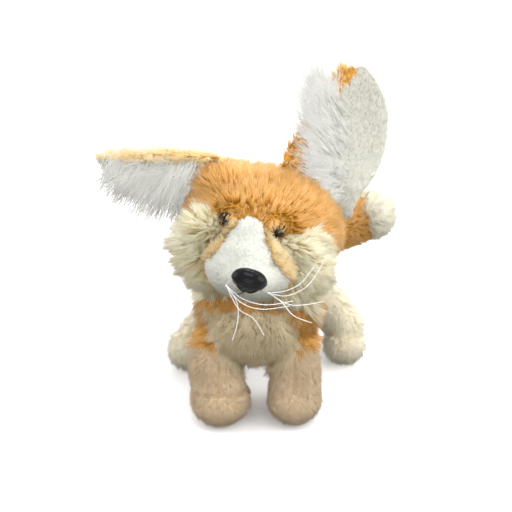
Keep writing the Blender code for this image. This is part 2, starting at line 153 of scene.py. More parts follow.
# Folds over the paws, as a place and a normal, and leg seams as x, how far back they
# reach, and their lowest and highest point.
DIVIDE = -0.012
FRONT_ANKLE = ((0.0072, -0.0600, 0.0215), (0.0, -0.2, -1.0))
HIND_ANKLE = ((0.0072, 0.0176, 0.0235), (0.0, -0.25, -1.0))
LEG_SEAMS = ((-0.0135, -0.046, 0.021, 0.052), (0.0300, -0.042, 0.021, 0.046))
# Where the seam over the right front paw starts, and how long it is.
PAW_SEAM = (-0.0295, 0.021)
FOLD_DEPTH = 0.0012
SEAM_HEIGHT = 0.0024
FOLD_WIDTH = 0.0013
WHITE_MIDDLE = ((-40.0, -10.0, 10.0), (0.0, -0.5, -4.0))
WHITE_HALF_WIDTH = ((-40.0, -12.0, -6.0, 2.0, 8.0, 14.0, 18.0), (40.0, 29.0, 20.0, 13.0, 9.5, 6.0, 4.0))
SHOULDER_EDGE = 0.048
# The pale belly's top and how far it faces down, and how far back the bib starts.
BELLY_TOP = 0.045
BELLY_SLOPE = -0.55
CHEST_BACK = -0.03
# The bib's height on the chest, and its right and left edge at those heights.
BIB_HEIGHTS = (0.047, 0.060, 0.073)
BIB_EDGES = ((-0.0155, -0.0200, -0.0235), (0.0310, 0.0300, 0.0275))

# Zones of the skin: the nodes they come from and their fabric.
ZONES = {
    "head": (("head",), "orange"),
    "cheeks": (("cheek_left", "cheek_right"), "cream"),
    "muzzle": (("muzzle",), "white"),
    "muzzle_sides": ((), "apricot"),
    "torso": (("torso",), "orange"),
    "bib": (("chest_bib",), "sand"),
    "front_legs": (("leg_front_left", "leg_front_right", "paw_front_left", "paw_front_right"), "beige"),
    "hind_legs": (("leg_hind_left", "leg_hind_right", "paw_hind_left", "paw_hind_right"), "ivory"),
    "tail": (("tail",), "amber"),
    "tail_tip": (("tail_tip",), "pale"),
    "lining": ((), "chalk"),
    "ear_back": ((), "amber"),
}
ZONE_ORDER = tuple(ZONES)
FABRIC_ORDER = ("orange", "cream", "white", "beige", "pale", "apricot", "sand", "ivory", "amber", "chalk")

EARS = {
    "left": {
        "line": (mm(29.5, -2, 115), mm(33.5, -1, 138), mm(44, 2, 158), mm(49.5, 5, 179), mm(49, 6, 201)),
        "widths": (23.5, 27, 27.5, 22, 9),
        "facing": Vector((0.1, -1.0, 0.1)),
        "orange_from": (0.4, 0.4, 0.4, 0.4),
        "tip_turn": -0.85,
        "hem": 8.0,
        "side": 1,
    },
    "right": {
        "line": (mm(-25, -10, 143.5), mm(-46, -14, 144.5), mm(-63, -14, 143), mm(-81, -12, 144),
                 mm(-99, -9, 149)),
        "widths": (14, 16, 17, 14, 2),
        "facing": Vector((-0.1, -1.0, -0.35)),
        "orange_from": (0.0, 0.1, 0.5, 0.45),
        "tip_turn": 0.0,
        "hem": 2.0,
        "side": -1,
    },
}
EAR_THICKNESS = 4.0 * MM
EAR_CUP = 8.0 * MM
EAR_INSET = 2.6
EAR_SHARES = (0.0, 0.38, 0.52, 1.0)

# Strands that reach further than this to the right ear's tip are drawn back.
REACH_LEFT = -0.088
FLUFF = {
    "left": {
        "roots": (mm(37, -6, 126), mm(38, -7, 146), mm(38, -7, 166), mm(34, -6, 182)),
        "headings": (mm(-6, -5, -9), mm(-12, -4, 9), mm(-16, -2, 20), mm(-4, -2, 28)),
        "spread": 7.5,
        "over": 0.0,
    },
    "right": {
        "roots": (mm(-31, -21, 135), mm(-46, -21, 143), mm(-62, -21, 145), mm(-78, -19, 147)),
        "headings": (mm(-5, -5, -17), mm(-9, -4, -25), mm(-13, -4, -22), mm(-12, -2, -12)),
        "spread": 13.0,
        "over": 0.11,
    },
}

NOSE_PLACE = mm(1.2, -65.0, -6.0)
NOSE_RADII = mm(9.3, 6.4, 6.7)
STITCH = (mm(-0.5, -66.6, -12.4), mm(-2.4, -66.9, -13.6), mm(-4.0, -66.3, -14.6), mm(-4.9, -64.0, -15.2))
EYES = {"right": mm(-16.9, -35.2, 12.6), "left": mm(10.4, -35.6, 12.8)}
EYE_RADIUS = 4.6 * MM

WHISKERS = {
    "right": (
        (mm(-9.4, -63.2, -12.3), mm(-2.5, -67, -18.7), mm(-0.3, -69, -28.2), mm(-1.1, -70, -39.1)),
        (mm(-9.4, -63.2, -12.3), mm(-1.4, -68, -21), mm(7.3, -69, -24.5), mm(14.3, -70, -32.2)),
        (mm(-9.4, -63.2, -12.3), mm(0.1, -69, -14.8), mm(11.8, -72, -14), mm(24.6, -70, -9.9)),
        (mm(-9.4, -63.2, -12.3), mm(-0.6, -68.5, -17.2), mm(10.1, -72.5, -16.6), mm(23.5, -70, -13)),
    ),
    "left": (
        (mm(12.2, -61.9, -12.1), mm(20.3, -66, -7.1), mm(26.6, -67, -0.8), mm(31.1, -66, 8.6)),
        (mm(12.2, -61.9, -12.1), mm(21.1, -67.5, -9), mm(30, -68.5, -0.8), mm(34.9, -66, 11.6)),
        (mm(12.2, -61.9, -12.1), mm(22.2, -67, -13.6), mm(30.1, -68, -11.9), mm(39.5, -67, -8.4)),
        (mm(12.2, -61.9, -12.1), mm(19.2, -68, -12.6), mm(26.7, -69, -18.3), mm(36.8, -67, -21.3)),
    ),
}


def dye(name, where, default):
    """A setting for a fabric's colour."""
    return FloatVectorProperty(name=name, description="Colour of " + where, subtype="COLOR", size=3,
                               min=0, max=1, default=default)


def pile_length(name, where, default):
    """A setting for how long the tufts are."""
    return FloatProperty(name=name, description="Length of the pile " + where, unit="LENGTH",
                         default=default)


class FoxCoatSettings(bpy.types.PropertyGroup):
    """Colours of the fabrics and lengths of the pile."""

    orange: dye("Orange plush", "the head and back", (0.79, 0.37, 0.038))
    # Painted light: a lighter copy of the orange, for parts that lie in shade: the tail, the brows, the left
    # ear's back and the strips.
    amber: dye("Amber plush", "the tail and the left ear's back", (0.94, 0.475, 0.065))
    apricot: dye("Apricot plush", "the muzzle's strips and the right ear's back", (0.99, 0.73, 0.34))
    cream: dye("Cream plush", "the cheeks", (1.0, 0.87, 0.54))
    # Painted shade: the bib's cream made darker and warmer, as the shade under the head.
    sand: dye("Sand plush", "the bib", (0.86, 0.69, 0.42))
    # Partly the front legs' own beige, partly painted shade: made darker, as the shade that falls on them
    # under the head and chest.
    beige: dye("Beige plush", "the front legs and paws", (0.86, 0.65, 0.41))
    ivory: dye("Ivory plush", "the hind legs and paws", (1.0, 0.905, 0.69))
    white: dye("White plush", "the muzzle and of the long strands in the ears", (0.85, 0.87, 0.80))
    # Partly the linings' own creamy white, partly painted shade: darker than the muzzle's white.
    chalk: dye("Lining plush", "the ear linings", (0.77, 0.765, 0.665))
    pale: dye("Pale plush", "the tail's tip", (0.85, 0.82, 0.68))
    head_pile: pile_length("Head pile", "on the head", 0.0108)
    cheek_pile: pile_length("Cheek pile", "on the cheeks", 0.0140)
    body_pile: pile_length("Body pile", "on the back and sides", 0.0105)
    bib_pile: pile_length("Bib pile", "on the chest", 0.0092)
    leg_pile: pile_length("Leg pile", "on the legs", 0.0052)
    muzzle_pile: pile_length("Muzzle pile", "on the muzzle", 0.0032)
    tail_pile: pile_length("Tail pile", "on the tail", 0.0095)
    ear_pile: pile_length("Ear back pile", "behind the ears", 0.0075)
    lining_pile: pile_length("Ear lining pile", "inside the ears", 0.0042)


class FoxStageSettings(bpy.types.PropertyGroup):
    """The camera's place and the studio light."""

    azimuth: FloatProperty(
        name="Azimuth", description="Camera's angle round the fox", subtype="ANGLE", default=math.radians(6))
    elevation: FloatProperty(
        name="Elevation", description="Camera's angle above the floor", subtype="ANGLE",
        default=math.radians(20))
    distance: FloatProperty(
        name="Distance", description="From the camera to the point it looks at", unit="LENGTH", default=0.400)
    look_at: FloatVectorProperty(
        name="Look at", description="The point that the camera looks at", subtype="TRANSLATION",
        size=3, default=(0.0022, -0.0064, 0.087))
    lens: FloatProperty(
        name="Lens", description="Focal length in millimetres", default=45.0)
    key: FloatProperty(
        name="Key light", description="Power of the large light above", subtype="POWER", default=2.4)
    front: FloatProperty(
        name="Front light", description="Power of the light beside the camera", subtype="POWER", default=2.1)
    below: FloatProperty(
        name="Light from below", description="Share of the fill light that comes from under the fox",
        min=0, max=1, default=0.23)
    fill: FloatProperty(
        name="Fill light", description="Strength of the light from all round", default=1.22)


class Value:
    """A shader socket that takes part in sums, so that 1 - mask adds its Math node."""

    def __init__(self, tree, socket):
        self.tree = tree
        self.socket = socket

    def math(self, operation, *values):
        node = self.tree.nodes.new("ShaderNodeMath")
        node.operation = operation
        for slot, value in zip(node.inputs, values):
            feed(self.tree, slot, value)
        return Value(self.tree, node.outputs[0])

    def __add__(self, other):
        return self.math("ADD", self, other)

    def __radd__(self, other):
        return self.math("ADD", other, self)

    def __sub__(self, other):
        return self.math("SUBTRACT", self, other)

    def __rsub__(self, other):
        return self.math("SUBTRACT", other, self)

    def __mul__(self, other):
        return self.math("MULTIPLY", self, other)

    def __rmul__(self, other):
        return self.math("MULTIPLY", other, self)


def feed(tree, slot, value):
    """Links a socket or sets its own value."""
    if isinstance(value, Value):
        tree.links.new(value.socket, slot)
    elif isinstance(slot.default_value, float):
        slot.default_value = value
    elif len(slot.default_value) == 4 and len(value) == 3:
        slot.default_value = (*value, 1.0)
    else:
        slot.default_value = value


class Finish:
    """One material with a Principled shader, and the ways to add nodes to it."""

    def __init__(self, name, **constants):
        self.material = bpy.data.materials.new(name)
        self.material.use_nodes = True
        self.tree = self.material.node_tree
        self.shader = self.tree.nodes["Principled BSDF"]
        for socket, value in constants.items():
            feed(self.tree, self.shader.inputs[socket.replace("_", " ")], value)

    def node(self, kind, settings, values, output=0):
        made = self.tree.nodes.new(kind)
        for setting, value in settings.items():
            setattr(made, setting, value)
        for slot, value in values.items():
            feed(self.tree, made.inputs[slot], value)
        return Value(self.tree, made.outputs[output])

    def attribute(self, name, output="Fac"):
        return self.node("ShaderNodeAttribute", {"attribute_name": name}, {}, output)

    def noise(self, scale, detail=2.0):
        place = self.node("ShaderNodeTexCoord", {}, {}, "Object")
        return self.node("ShaderNodeTexNoise", {}, {"Vector": place, "Scale": scale, "Detail": detail})

    def between(self, value, low, high, to_low=0.0, to_high=1.0):
        ends = {"From Min": low, "From Max": high, "To Min": to_low, "To Max": to_high}
        return self.node("ShaderNodeMapRange", {"interpolation_type": "SMOOTHSTEP"}, {"Value": value, **ends})

    def blend(self, factor, first, second):
        return self.node("ShaderNodeMix", {"data_type": "RGBA"}, {0: factor, 6: first, 7: second}, 2)

    def vector(self, operation, values, output=0):
        return self.node("ShaderNodeVectorMath", {"operation": operation}, values, output)

    def bump(self, height, strength, distance):
        return self.node("ShaderNodeBump", {},
                         {"Height": height, "Strength": strength, "Distance": distance})

    def feed(self, **links):
        for socket, value in links.items():
            feed(self.tree, self.shader.inputs[socket.replace("_", " ")], value)
        return self.material


def shade(colour, factor):
    """A colour made darker or lighter by a factor."""
    return tuple(min(1.0, part * factor) for part in colour)


def blended(first, second, share):
    """A colour part of the way from the first to the second."""
    return tuple(a + (b - a) * share for a, b in zip(first, second))


def backing(name, colour):
    """The knitted cloth and the dense foot of the pile under the tufts, in tones that differ at random, all
    darker than the fabric as painted shade between the tufts.
    """
    finish = Finish(name, Roughness=0.85, Specular_IOR_Level=0.2)
    fine = finish.noise(2600.0, 3.0)
    soft = finish.noise(90.0, 2.0)
    # Painted shade: both tones lie below the fabric's own colour.
    tone = finish.blend(finish.between(soft, 0.35, 0.65), shade(colour, 0.84), shade(colour, 0.96))
    tone = finish.blend(finish.between(fine, 0.35, 0.7), shade(colour, 0.78), tone)
    return finish.feed(Base_Color=tone, Normal=finish.bump(fine, 0.6, 0.0008))


def pile(name, root, body, tip, lift=0.45, roughness=0.45, sheen=0.1, contrast=0.32,
         two_sided=False):
    """Plush fibre: darker at the root, as painted shade between the tufts, with locks of slightly different
    tone.
    """
    finish = Finish(name, Roughness=roughness, Specular_IOR_Level=0.32, Sheen_Weight=sheen,
                    Sheen_Roughness=0.4)
    along, tone = finish.attribute("along"), finish.attribute("tone")
    colour = finish.blend(finish.between(along, 0.0, 0.6), root, body)
    colour = finish.blend(finish.between(along + tone * 0.5, 0.6, 1.2), colour, tip)
    patch = finish.noise(55.0, 2.0)
    shades = finish.blend(tone, shade(body, 1.0 - contrast), shade(body, 1.0 + contrast * 0.6))
    colour = finish.blend(0.4, colour, shades)
    colour = finish.blend(finish.between(patch, 0.35, 0.7, 0.0, 0.3), colour, shade(body, 1.0 - contrast))
    facing = finish.node("ShaderNodeNewGeometry", {}, {}, "Normal")
    lie = finish.attribute("lie", "Vector")
    if two_sided:
        side = finish.vector("DOT_PRODUCT", {0: facing, 1: lie}, "Value")
        lie = finish.vector("SCALE", {0: lie, "Scale": side.math("SIGN", side)})
    normal = finish.node("ShaderNodeMix", {"data_type": "VECTOR"}, {0: lift, 4: facing, 5: lie}, 1)
    return finish.feed(Base_Color=colour, Normal=finish.vector("NORMALIZE", {0: normal}))


def twisted(name, roughness, specular, dark, pale, relief=0.3):
    """Thread of twisted fibres."""
    finish = Finish(name, Roughness=roughness, Specular_IOR_Level=specular)
    twist = finish.noise(1500.0)
    return finish.feed(Base_Color=finish.blend(finish.between(twist, 0.3, 0.7), dark, pale),
                       Normal=finish.bump(twist, relief, 0.0002))


def new_object(name, mesh):
    obj = bpy.data.objects.new(name, mesh)
    bpy.context.scene.collection.objects.link(obj)
    return obj


def piece_of(name, bm, smooth=True):
    """Ends a piece made in mesh code."""
    mesh = bpy.data.meshes.new(name)
    bm.to_mesh(mesh)
    bm.free()
    if smooth:
        mesh.shade_smooth()
    return new_object(name, mesh)


def freeze(obj):
    """Replaces the mesh by the evaluated one, so that no modifier is left."""
    bpy.context.view_layer.update()
    graph = bpy.context.evaluated_depsgraph_get()
    mesh = bpy.data.meshes.new_from_object(obj.evaluated_get(graph))
    obj.modifiers.clear()
    obj.data = mesh
    return obj


def along(line, t):
    """A point at share t of a chain of values, on a smooth curve through them."""
    spans = len(line) - 1
    i = min(int(t * spans), spans - 1)
    s = t * spans - i
    before, a, b = line[max(i - 1, 0)], line[i], line[i + 1]
    after = line[min(i + 2, spans)]
    return a + ((b - before) * s + (before * 2 - a * 5 + b * 4 - after) * s**2
                + ((a - b) * 3 + after - before) * s**3) / 2


def ball(place, radii, turn=SHIFT):
    """The corners and faces of an ellipsoid."""
    bm = bmesh.new()
    bmesh.ops.create_uvsphere(bm, u_segments=32, v_segments=20, radius=1.0)
    bm.transform(turn @ Matrix.Translation(place) @ Matrix.Diagonal((*radii, 1.0)))
    points = [tuple(v.co) for v in bm.verts]
    faces = [tuple(v.index for v in f.verts) for f in bm.faces]
    bm.free()
    return points, faces


def joined(name, pieces):
    """One mesh from several lists of corners and faces."""
    points, faces = [], []
    for more_points, more_faces in pieces:
        faces += [tuple(i + len(points) for i in face) for face in more_faces]
        points += more_points
    mesh = bpy.data.meshes.new(name)
    mesh.from_pydata(points, [], faces)
    return mesh


def points_of(mesh):
    points = np.empty(len(mesh.vertices) * 3, np.float32)
    mesh.vertices.foreach_get("co", points)
    return points.reshape(-1, 3).astype(float)


def face_data(mesh, what):
    values = np.empty(len(mesh.polygons) * 3, np.float32)
    mesh.polygons.foreach_get(what, values)
    return values.reshape(-1, 3).astype(float)


def tree_of(node):
    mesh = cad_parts[node].data
    return BVHTree.FromPolygons([v.co for v in mesh.vertices], [tuple(p.vertices) for p in mesh.polygons])


def kd_tree(points):
    """A tree that finds the nearest of the points."""
    tree = KDTree(len(points))
    for i, point in enumerate(points):
        tree.insert(point, i)
    tree.balance()
    return tree


def unit(vectors):
    length = np.linalg.norm(vectors, axis=1, keepdims=True)
    return vectors / np.maximum(length, 1e-9)


def into_head(points):
    """Points in the head's own frame, in millimetres."""
    turn = np.array(HEAD.inverted())
    return (points @ turn[:3, :3].T + turn[:3, 3]) / MM


def out_of_head(vectors):
    return vectors @ np.array(HEAD)[:3, :3].T


def skin_form():
    """The stuffed body without its pile, as one closed surface."""
    balls = []
    for forms, turn in ((HEAD_FORMS, HEAD), (BODY_FORMS, SHIFT)):
        for place, radii, depth in forms:
            balls.append(ball(mm(*place), mm(*(r - depth for r in radii)), turn))
    for joints, depth in LIMBS:
        places = [Vector(joint[:3]) for joint in joints]
        radii = [joint[3] for joint in joints]
        steps = (len(joints) - 1) * 6
        for i in range(steps + 1):
            place, radius = along(places, i / steps), along(radii, i / steps) - depth
            balls.append(ball(place * MM, mm(radius, radius, radius)))
    obj = new_object("plush_skin", joined("plush_skin", balls))
    remesh = obj.modifiers.new("fuse", "REMESH")
    remesh.mode = "VOXEL"
    remesh.voxel_size = SKIN_VOXEL
    rounding = obj.modifiers.new("round", "SMOOTH")
    rounding.factor = 0.5
    rounding.iterations = SKIN_ROUNDING
    return freeze(obj)


def mark_zones(obj):
    """Gives each face of the skin its zone and fabric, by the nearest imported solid."""
    trees = [(zone, tree_of(node)) for zone in ZONE_ORDER for node in ZONES[zone][0]]
    centres = face_data(obj.data, "center")
    normals = face_data(obj.data, "normal")
    zones = np.empty(len(centres), np.int32)
    for i, point in enumerate(centres + normals * 5.0 * MM):
        near = min((tree.find_nearest(Vector(point))[3], zone) for zone, tree in trees)
        zones[i] = ZONE_ORDER.index(near[1])
    muzzle = tree_of("muzzle")
    off_muzzle = np.array([muzzle.find_nearest(Vector(point))[3] for point in centres]) / MM
    number = {zone: i for i, zone in enumerate(ZONE_ORDER)}
    p = into_head(centres)
    out = np.abs(p[:, 0])
    face = np.isin(zones, (number["head"], number["cheeks"]))
    ruff = face & (p[:, 1] < np.interp(p[:, 2], *CHEEK_BACK))
    ruff &= ((p[:, 2] < np.interp(out, *CHEEK_TOP)) & (out > CHEEK_START)) | (p[:, 2] < CHIN_TOP)
    zones[face] = number["head"]
    zones[ruff] = number["cheeks"]
    off_middle = np.abs(p[:, 0] - np.interp(p[:, 2], *WHITE_MIDDLE))
    bridge = (zones == number["muzzle"]) & (off_middle > np.interp(p[:, 2], *WHITE_HALF_WIDTH))
    zones[bridge] = number["muzzle_sides"]
    strip = face & (off_muzzle < STRIP_WIDTH) & (p[:, 1] < STRIP_BACK)
    strip &= (p[:, 2] > STRIP_HEIGHTS[0]) & (p[:, 2] < STRIP_HEIGHTS[1])
    zones[strip] = number["muzzle_sides"]
    zones[(zones == number["front_legs"]) & (centres[:, 2] > SHOULDER_EDGE)] = number["torso"]
    under = (zones == number["torso"]) & (centres[:, 2] < BELLY_TOP) & (normals[:, 2] < BELLY_SLOPE)
    zones[under] = number["bib"]
    low, high = (np.interp(centres[:, 2], BIB_HEIGHTS, edge) for edge in BIB_EDGES)
    front = (centres[:, 1] < CHEST_BACK) & (normals[:, 1] < 0.1) & (centres[:, 2] < BIB_HEIGHTS[-1])
    front &= (centres[:, 2] > BIB_HEIGHTS[0]) & (centres[:, 0] > low) & (centres[:, 0] < high)
    zones[front & np.isin(zones, (number["torso"], number["front_legs"]))] = number["bib"]
    store_zones(obj, zones)


def store_zones(obj, zones):
    obj.data.attributes.new("zone", "INT", "FACE").data.foreach_set("value", zones)
    fabrics = [FABRIC_ORDER.index(ZONES[zone][1]) for zone in ZONE_ORDER]
    obj.data.polygons.foreach_set("material_index", np.array(fabrics, np.int32)[zones])
    coat = bpy.context.scene.fox_coat
    for fabric in FABRIC_ORDER:
        name = fabric + "_backing"
        material = bpy.data.materials.get(name) or backing(name, tuple(getattr(coat, fabric)))
        obj.data.materials.append(material)
    obj.data.shade_smooth()


class Region:
    """Part of a surface as triangles, with an unwrap of its own shape."""

    def __init__(self, obj, zones, keep=None):
        source = obj.data
        wanted = {ZONE_ORDER.index(zone) for zone in zones}
        marks = source.attributes["zone"].data
        bm = bmesh.new()
        bm.from_mesh(source)
        bm.faces.ensure_lookup_table()
        drop = [f for f in bm.faces if marks[f.index].value not in wanted or (keep and not keep(f))]
        bmesh.ops.delete(bm, geom=drop, context="FACES")
        bmesh.ops.triangulate(bm, faces=bm.faces)
        piece = piece_of("region", bm, smooth=False)
        mesh = piece.data
        bpy.ops.object.select_all(action="DESELECT")
        bpy.context.view_layer.objects.active = piece
        piece.select_set(True)
        bpy.ops.object.mode_set(mode="EDIT")
        bpy.ops.mesh.select_all(action="SELECT")
        bpy.ops.uv.smart_project(angle_limit=math.radians(66), island_margin=0.004)
        bpy.ops.object.mode_set(mode="OBJECT")
        points = points_of(mesh)
        corners = np.empty(len(mesh.polygons) * 3, np.int32)
        mesh.loops.foreach_get("vertex_index", corners)
        flat = np.empty(len(mesh.loops) * 2, np.float32)
        mesh.uv_layers.active.data.foreach_get("uv", flat)
        normals = np.array([n.vector for n in source.vertex_normals])
        tree = kd_tree(points_of(source))
        match = [tree.find(point)[1] for point in points]
        self.corners = points[corners].reshape(-1, 3, 3)
        self.normals = normals[match][corners].reshape(-1, 3, 3)
        self.flat = flat.reshape(-1, 3, 2).astype(float)
        bpy.data.objects.remove(piece)
        bpy.data.meshes.remove(mesh)

    def scatter(self, count, rng):
        """Roots spread evenly over the region: places, normals and places on the unwrap."""
        a, b, c = (self.corners[:, i] for i in range(3))
        area = np.linalg.norm(np.cross(b - a, c - a), axis=1)
        reach = np.cumsum(area)
        picks = (np.arange(count) + rng.random(count)) / count * reach[-1]
        face = np.minimum(np.searchsorted(reach, picks), len(area) - 1)
        u, v = np.sqrt(rng.random(count)), rng.random(count)
        share = np.stack((1 - u, u * (1 - v), u * v), axis=1)[:, :, None]
        roots = (self.corners[face] * share).sum(1)
        normals = unit((self.normals[face] * share).sum(1))
        return roots, normals, (self.flat[face] * share).sum(1)


def spikes(name, roots, lie, reach, droop, width, rings, tone, flat):
    """Closed three-sided tufts: roots, the way each one runs, and how it bends to its tip."""
    count = len(roots)
    heading = unit(reach)
    across = unit(np.cross(lie, heading))
    deep = unit(np.cross(heading, across))
    per = 3 * rings + 1
    points = np.empty((count, per, 3))
    spots = np.empty((count, per, 2))
    shares = np.empty((count, per))
    for ring in range(rings):
        t = ring / rings
        middle = roots + reach * t + droop * t * t
        wide = width * RING_WIDTHS[ring]
        for corner in range(3):
            angle = 2 * math.pi * corner / 3 + math.pi / 6
            step = across * math.cos(angle) + deep * (math.sin(angle) * TUFT_FLATNESS)
            k = ring * 3 + corner
            points[:, k] = middle + step * wide[:, None] * 0.5
            spots[:, k] = flat + BAKE_SPREAD * (1 - t) * np.array((math.cos(angle), math.sin(angle)))
            shares[:, k] = t
    points[:, -1] = roots + reach + droop
    spots[:, -1] = flat
    shares[:, -1] = 1.0
    faces = [(0, 2, 1)]
    for ring in range(rings - 1):
        for corner in range(3):
            a, b = ring * 3 + corner, ring * 3 + (corner + 1) % 3
            faces += [(a, b, b + 3), (a, b + 3, a + 3)]
    last = (rings - 1) * 3
    faces += [(last + i, last + (i + 1) % 3, per - 1) for i in range(3)]
    faces = np.array(faces, np.int32)
    loops = (faces[None] + (np.arange(count, dtype=np.int32) * per)[:, None, None]).reshape(-1)
    points[:, :, 2] = np.maximum(points[:, :, 2], LOWEST_TUFT)
    mesh = bpy.data.meshes.new(name)
    mesh.vertices.add(count * per)
    mesh.vertices.foreach_set("co", points.reshape(-1).astype(np.float32))
    mesh.loops.add(len(loops))
    mesh.loops.foreach_set("vertex_index", loops)
    mesh.polygons.add(len(loops) // 3)
    mesh.polygons.foreach_set("loop_start", np.arange(0, len(loops), 3, dtype=np.int32))
    mesh.update(calc_edges=True)
    mesh.uv_layers.new(name="OFBake").data.foreach_set(
        "uv", spots.reshape(-1, 2)[loops].reshape(-1).astype(np.float32))
    for attribute, values in (("along", shares), ("tone", np.repeat(tone, per))):
        mesh.attributes.new(attribute, "FLOAT", "POINT").data.foreach_set(
            "value", values.reshape(-1).astype(np.float32))
    mesh.attributes.new("lie", "FLOAT_VECTOR", "POINT").data.foreach_set(
        "vector", np.repeat(lie, per, axis=0).reshape(-1).astype(np.float32))
    mesh.shade_smooth()
    return new_object(name, mesh)


def clumped(roots, tips, spacing, strength, rng):
    """Draws the tips of near tufts towards each other, as shag falls into locks."""
    leaders = rng.choice(len(roots), max(1, int(len(roots) * spacing)), replace=False)
    tree = kd_tree(roots[leaders])
    near = np.array([leaders[tree.find(root)[1]] for root in roots])
    pull = strength * rng.uniform(0.5, 1.0, len(roots))[:, None]
    return tips + (tips[near] - tips) * pull, near


def sprout(name, region, flow, count, length, width, lift, clump=0.55, spacing=0.07,
           seed=1, trim=None, stray=0.3, lie_to=None):
    """Tufts over a region: they leave the skin at the lift angle and follow the flow."""
    rng = np.random.default_rng(seed)
    roots, normals, flat = region.scatter(count, rng)
    run = flow(roots, normals)
    run = unit(run - normals * (run * normals).sum(1, keepdims=True))
    turn = rng.normal(0.0, stray, count)[:, None]
    run = run * np.cos(turn) + np.cross(normals, run) * np.sin(turn)
    rise = np.radians(np.broadcast_to(lift(roots) if callable(lift) else lift, count))
    rise = (rise * rng.uniform(0.75, 1.25, count))[:, None]
    reach = run * np.cos(rise) + normals * np.sin(rise)
    size = length * rng.uniform(0.72, 1.12, count)
    if trim is not None:
        size = size * trim(roots)
    tips = roots + reach * size[:, None]
    tips, near = clumped(roots, tips, spacing, clump, rng)
    lying = (run * 0.6 - normals * 0.45) * (size * TUFT_BOW)[:, None]
    lying[:, 2] -= size * TUFT_BOW * 0.35
    tone = 0.35 * rng.random(count) + 0.65 * rng.random(count)[near]
    wide = width * rng.uniform(0.75, 1.25, count) * (0.6 + 0.4 * size / size.max())
    lie = unit(normals + run * TUFT_LEAN if lie_to is None else np.tile(lie_to, (count, 1)))
    return spikes(name, roots - normals * ROOT_DEPTH, lie, tips - roots, lying, wide, 1, tone, flat)


def dress(obj, material):
    obj.data.materials.append(material)
    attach(obj, "root")
    return obj


def coat_colours(name, fabric, tip_highlight_share=0.5, root_shade_factor=0.5, other=None, contrast=0.32, deep=1.0,
                 painted_highlight=(1.0, 0.93, 0.72), two_sided=False):
    coat = bpy.context.scene.fox_coat
    colour = blended(tuple(getattr(coat, fabric)), tuple(getattr(coat, other or fabric)), 0.5)
    found = bpy.data.materials.get(name)
    # Painted shade at the roots: the root colour is raised to a power and darkened, as the shade between the
    # tufts.
    root = shade(tuple(part**deep for part in colour), root_shade_factor)
    # Painted highlight at the tips: the tip colour is blended part of the way towards a whitish highlight
    # colour.
    return found or pile(name, root, colour, blended(colour, painted_highlight, tip_highlight_share), contrast=contrast,
                         two_sided=two_sided)


def away_from(points, place, near, far, least):
    """From least at a place to 1 further off, for pile that is trimmed there."""
    distance = np.linalg.norm(points - np.array(place), axis=1)
    share = np.clip((distance - near) / (far - near), 0.0, 1.0)
    return least + (1.0 - least) * share


def near_trim(points, spots, near, far, least):
    """From least beside a set of places to 1 further off."""
    tree = kd_tree(spots)
    distance = np.array([tree.find(point)[2] for point in points])
    return least + (1.0 - least) * np.clip((distance - near) / (far - near), 0.0, 1.0)


def round_eyes(points, run):
    """Turns the tufts beside an eye towards it, so that they close over its rim."""
    run = unit(run)
    for place in EYES.values():
        away = points - np.array(HEAD @ place)
        distance = np.linalg.norm(away, axis=1, keepdims=True)
        share = np.clip((LASH_REACH - distance) / (3.0 * MM), 0.0, 1.0)
        run = run * (1.0 - share) - away / distance * share
    return run


def at_fold(points, place):
    """The front fold is on the right paw only and the hind fold on both."""
    front = place[1] < DIVIDE
    beside = points[:, 0] < place[0] if front else np.ones(len(points), bool)
    return ((points[:, 1] < DIVIDE) == front) & beside & (points[:, 2] < 0.037)


def seam_trim(points):
    """Short pile along the leg seams and the folds over the paws."""
    size = np.ones(len(points))
    for place, normal in (FRONT_ANKLE, HIND_ANKLE):
        off = np.abs((points - np.array(place)) @ unit(np.array([normal]))[0])
        size = np.where(at_fold(points, place) & (off < 1.0 * MM), size * 0.03, size)
    for x, deepest, low, high in LEG_SEAMS:
        on = (np.abs(points[:, 0] - x) < 1.5 * MM) & (points[:, 1] < deepest)
        on &= (points[:, 2] > low) & (points[:, 2] < high)
        size = np.where(on, size * 0.03, size)
    return size


def eye_share(points, near=6.5 * MM, far=20.0 * MM):
    """1 beside an eye and 0 further off."""
    share = np.zeros(len(points))
    for place in EYES.values():
        share = np.maximum(share, 1.0 - away_from(points, HEAD @ place, near, far, 0.0))
    return share


def head_lift(points):
    crown = np.clip((into_head(points)[:, 2] - 14.0) / 14.0, 0.0, 1.0)
    return 50.0 + 22.0 * eye_share(points) + 12.0 * crown


def head_trim(points):
    size = away_from(points, HEAD @ mm(0, -50, 2), 14 * MM, 45 * MM, 0.6)
    return np.maximum(size, 0.78 * eye_share(points))


def cheek_trim(points):
    return head_trim(points) * (1.0 - 0.45 * eye_share(points, 7 * MM, 18 * MM))


def head_flow(points, normals):
    """Off the bridge of the muzzle, over the crown and down the back of the head."""
    p = into_head(points)
    run = p - np.array((0.0, -52.0, -4.0))
    run[:, 2] -= np.clip(p[:, 1], 0.0, 60.0) * 2.2
    run[:, 1] += 18.0
    return round_eyes(points, out_of_head(run))


def cheek_flow(points, normals):
    p = into_head(points)
    run = p - np.array((0.0, -46.0, -6.0))
    run[:, 2] -= 3.0
    run[:, 1] += 6.0
    return round_eyes(points, out_of_head(run))


def muzzle_flow(points, normals):
    p = into_head(points)
    return out_of_head(p - np.array((1.5, -72.0, -8.0)))


def strip_flow(points, normals):
    return round_eyes(points, muzzle_flow(points, normals))


def torso_flow(points, normals):
    run = np.zeros_like(points)
    run[:, 1] = 0.75
    run[:, 2] = -0.55 - np.clip((0.02 - points[:, 1]) / 0.05, 0.0, 1.0) * 0.8
    return run


def bib_flow(points, normals):
    run = np.zeros_like(points)
    run[:, 0] = (points[:, 0] - 0.007) * 8.0
    run[:, 2] = -1.0
    return run


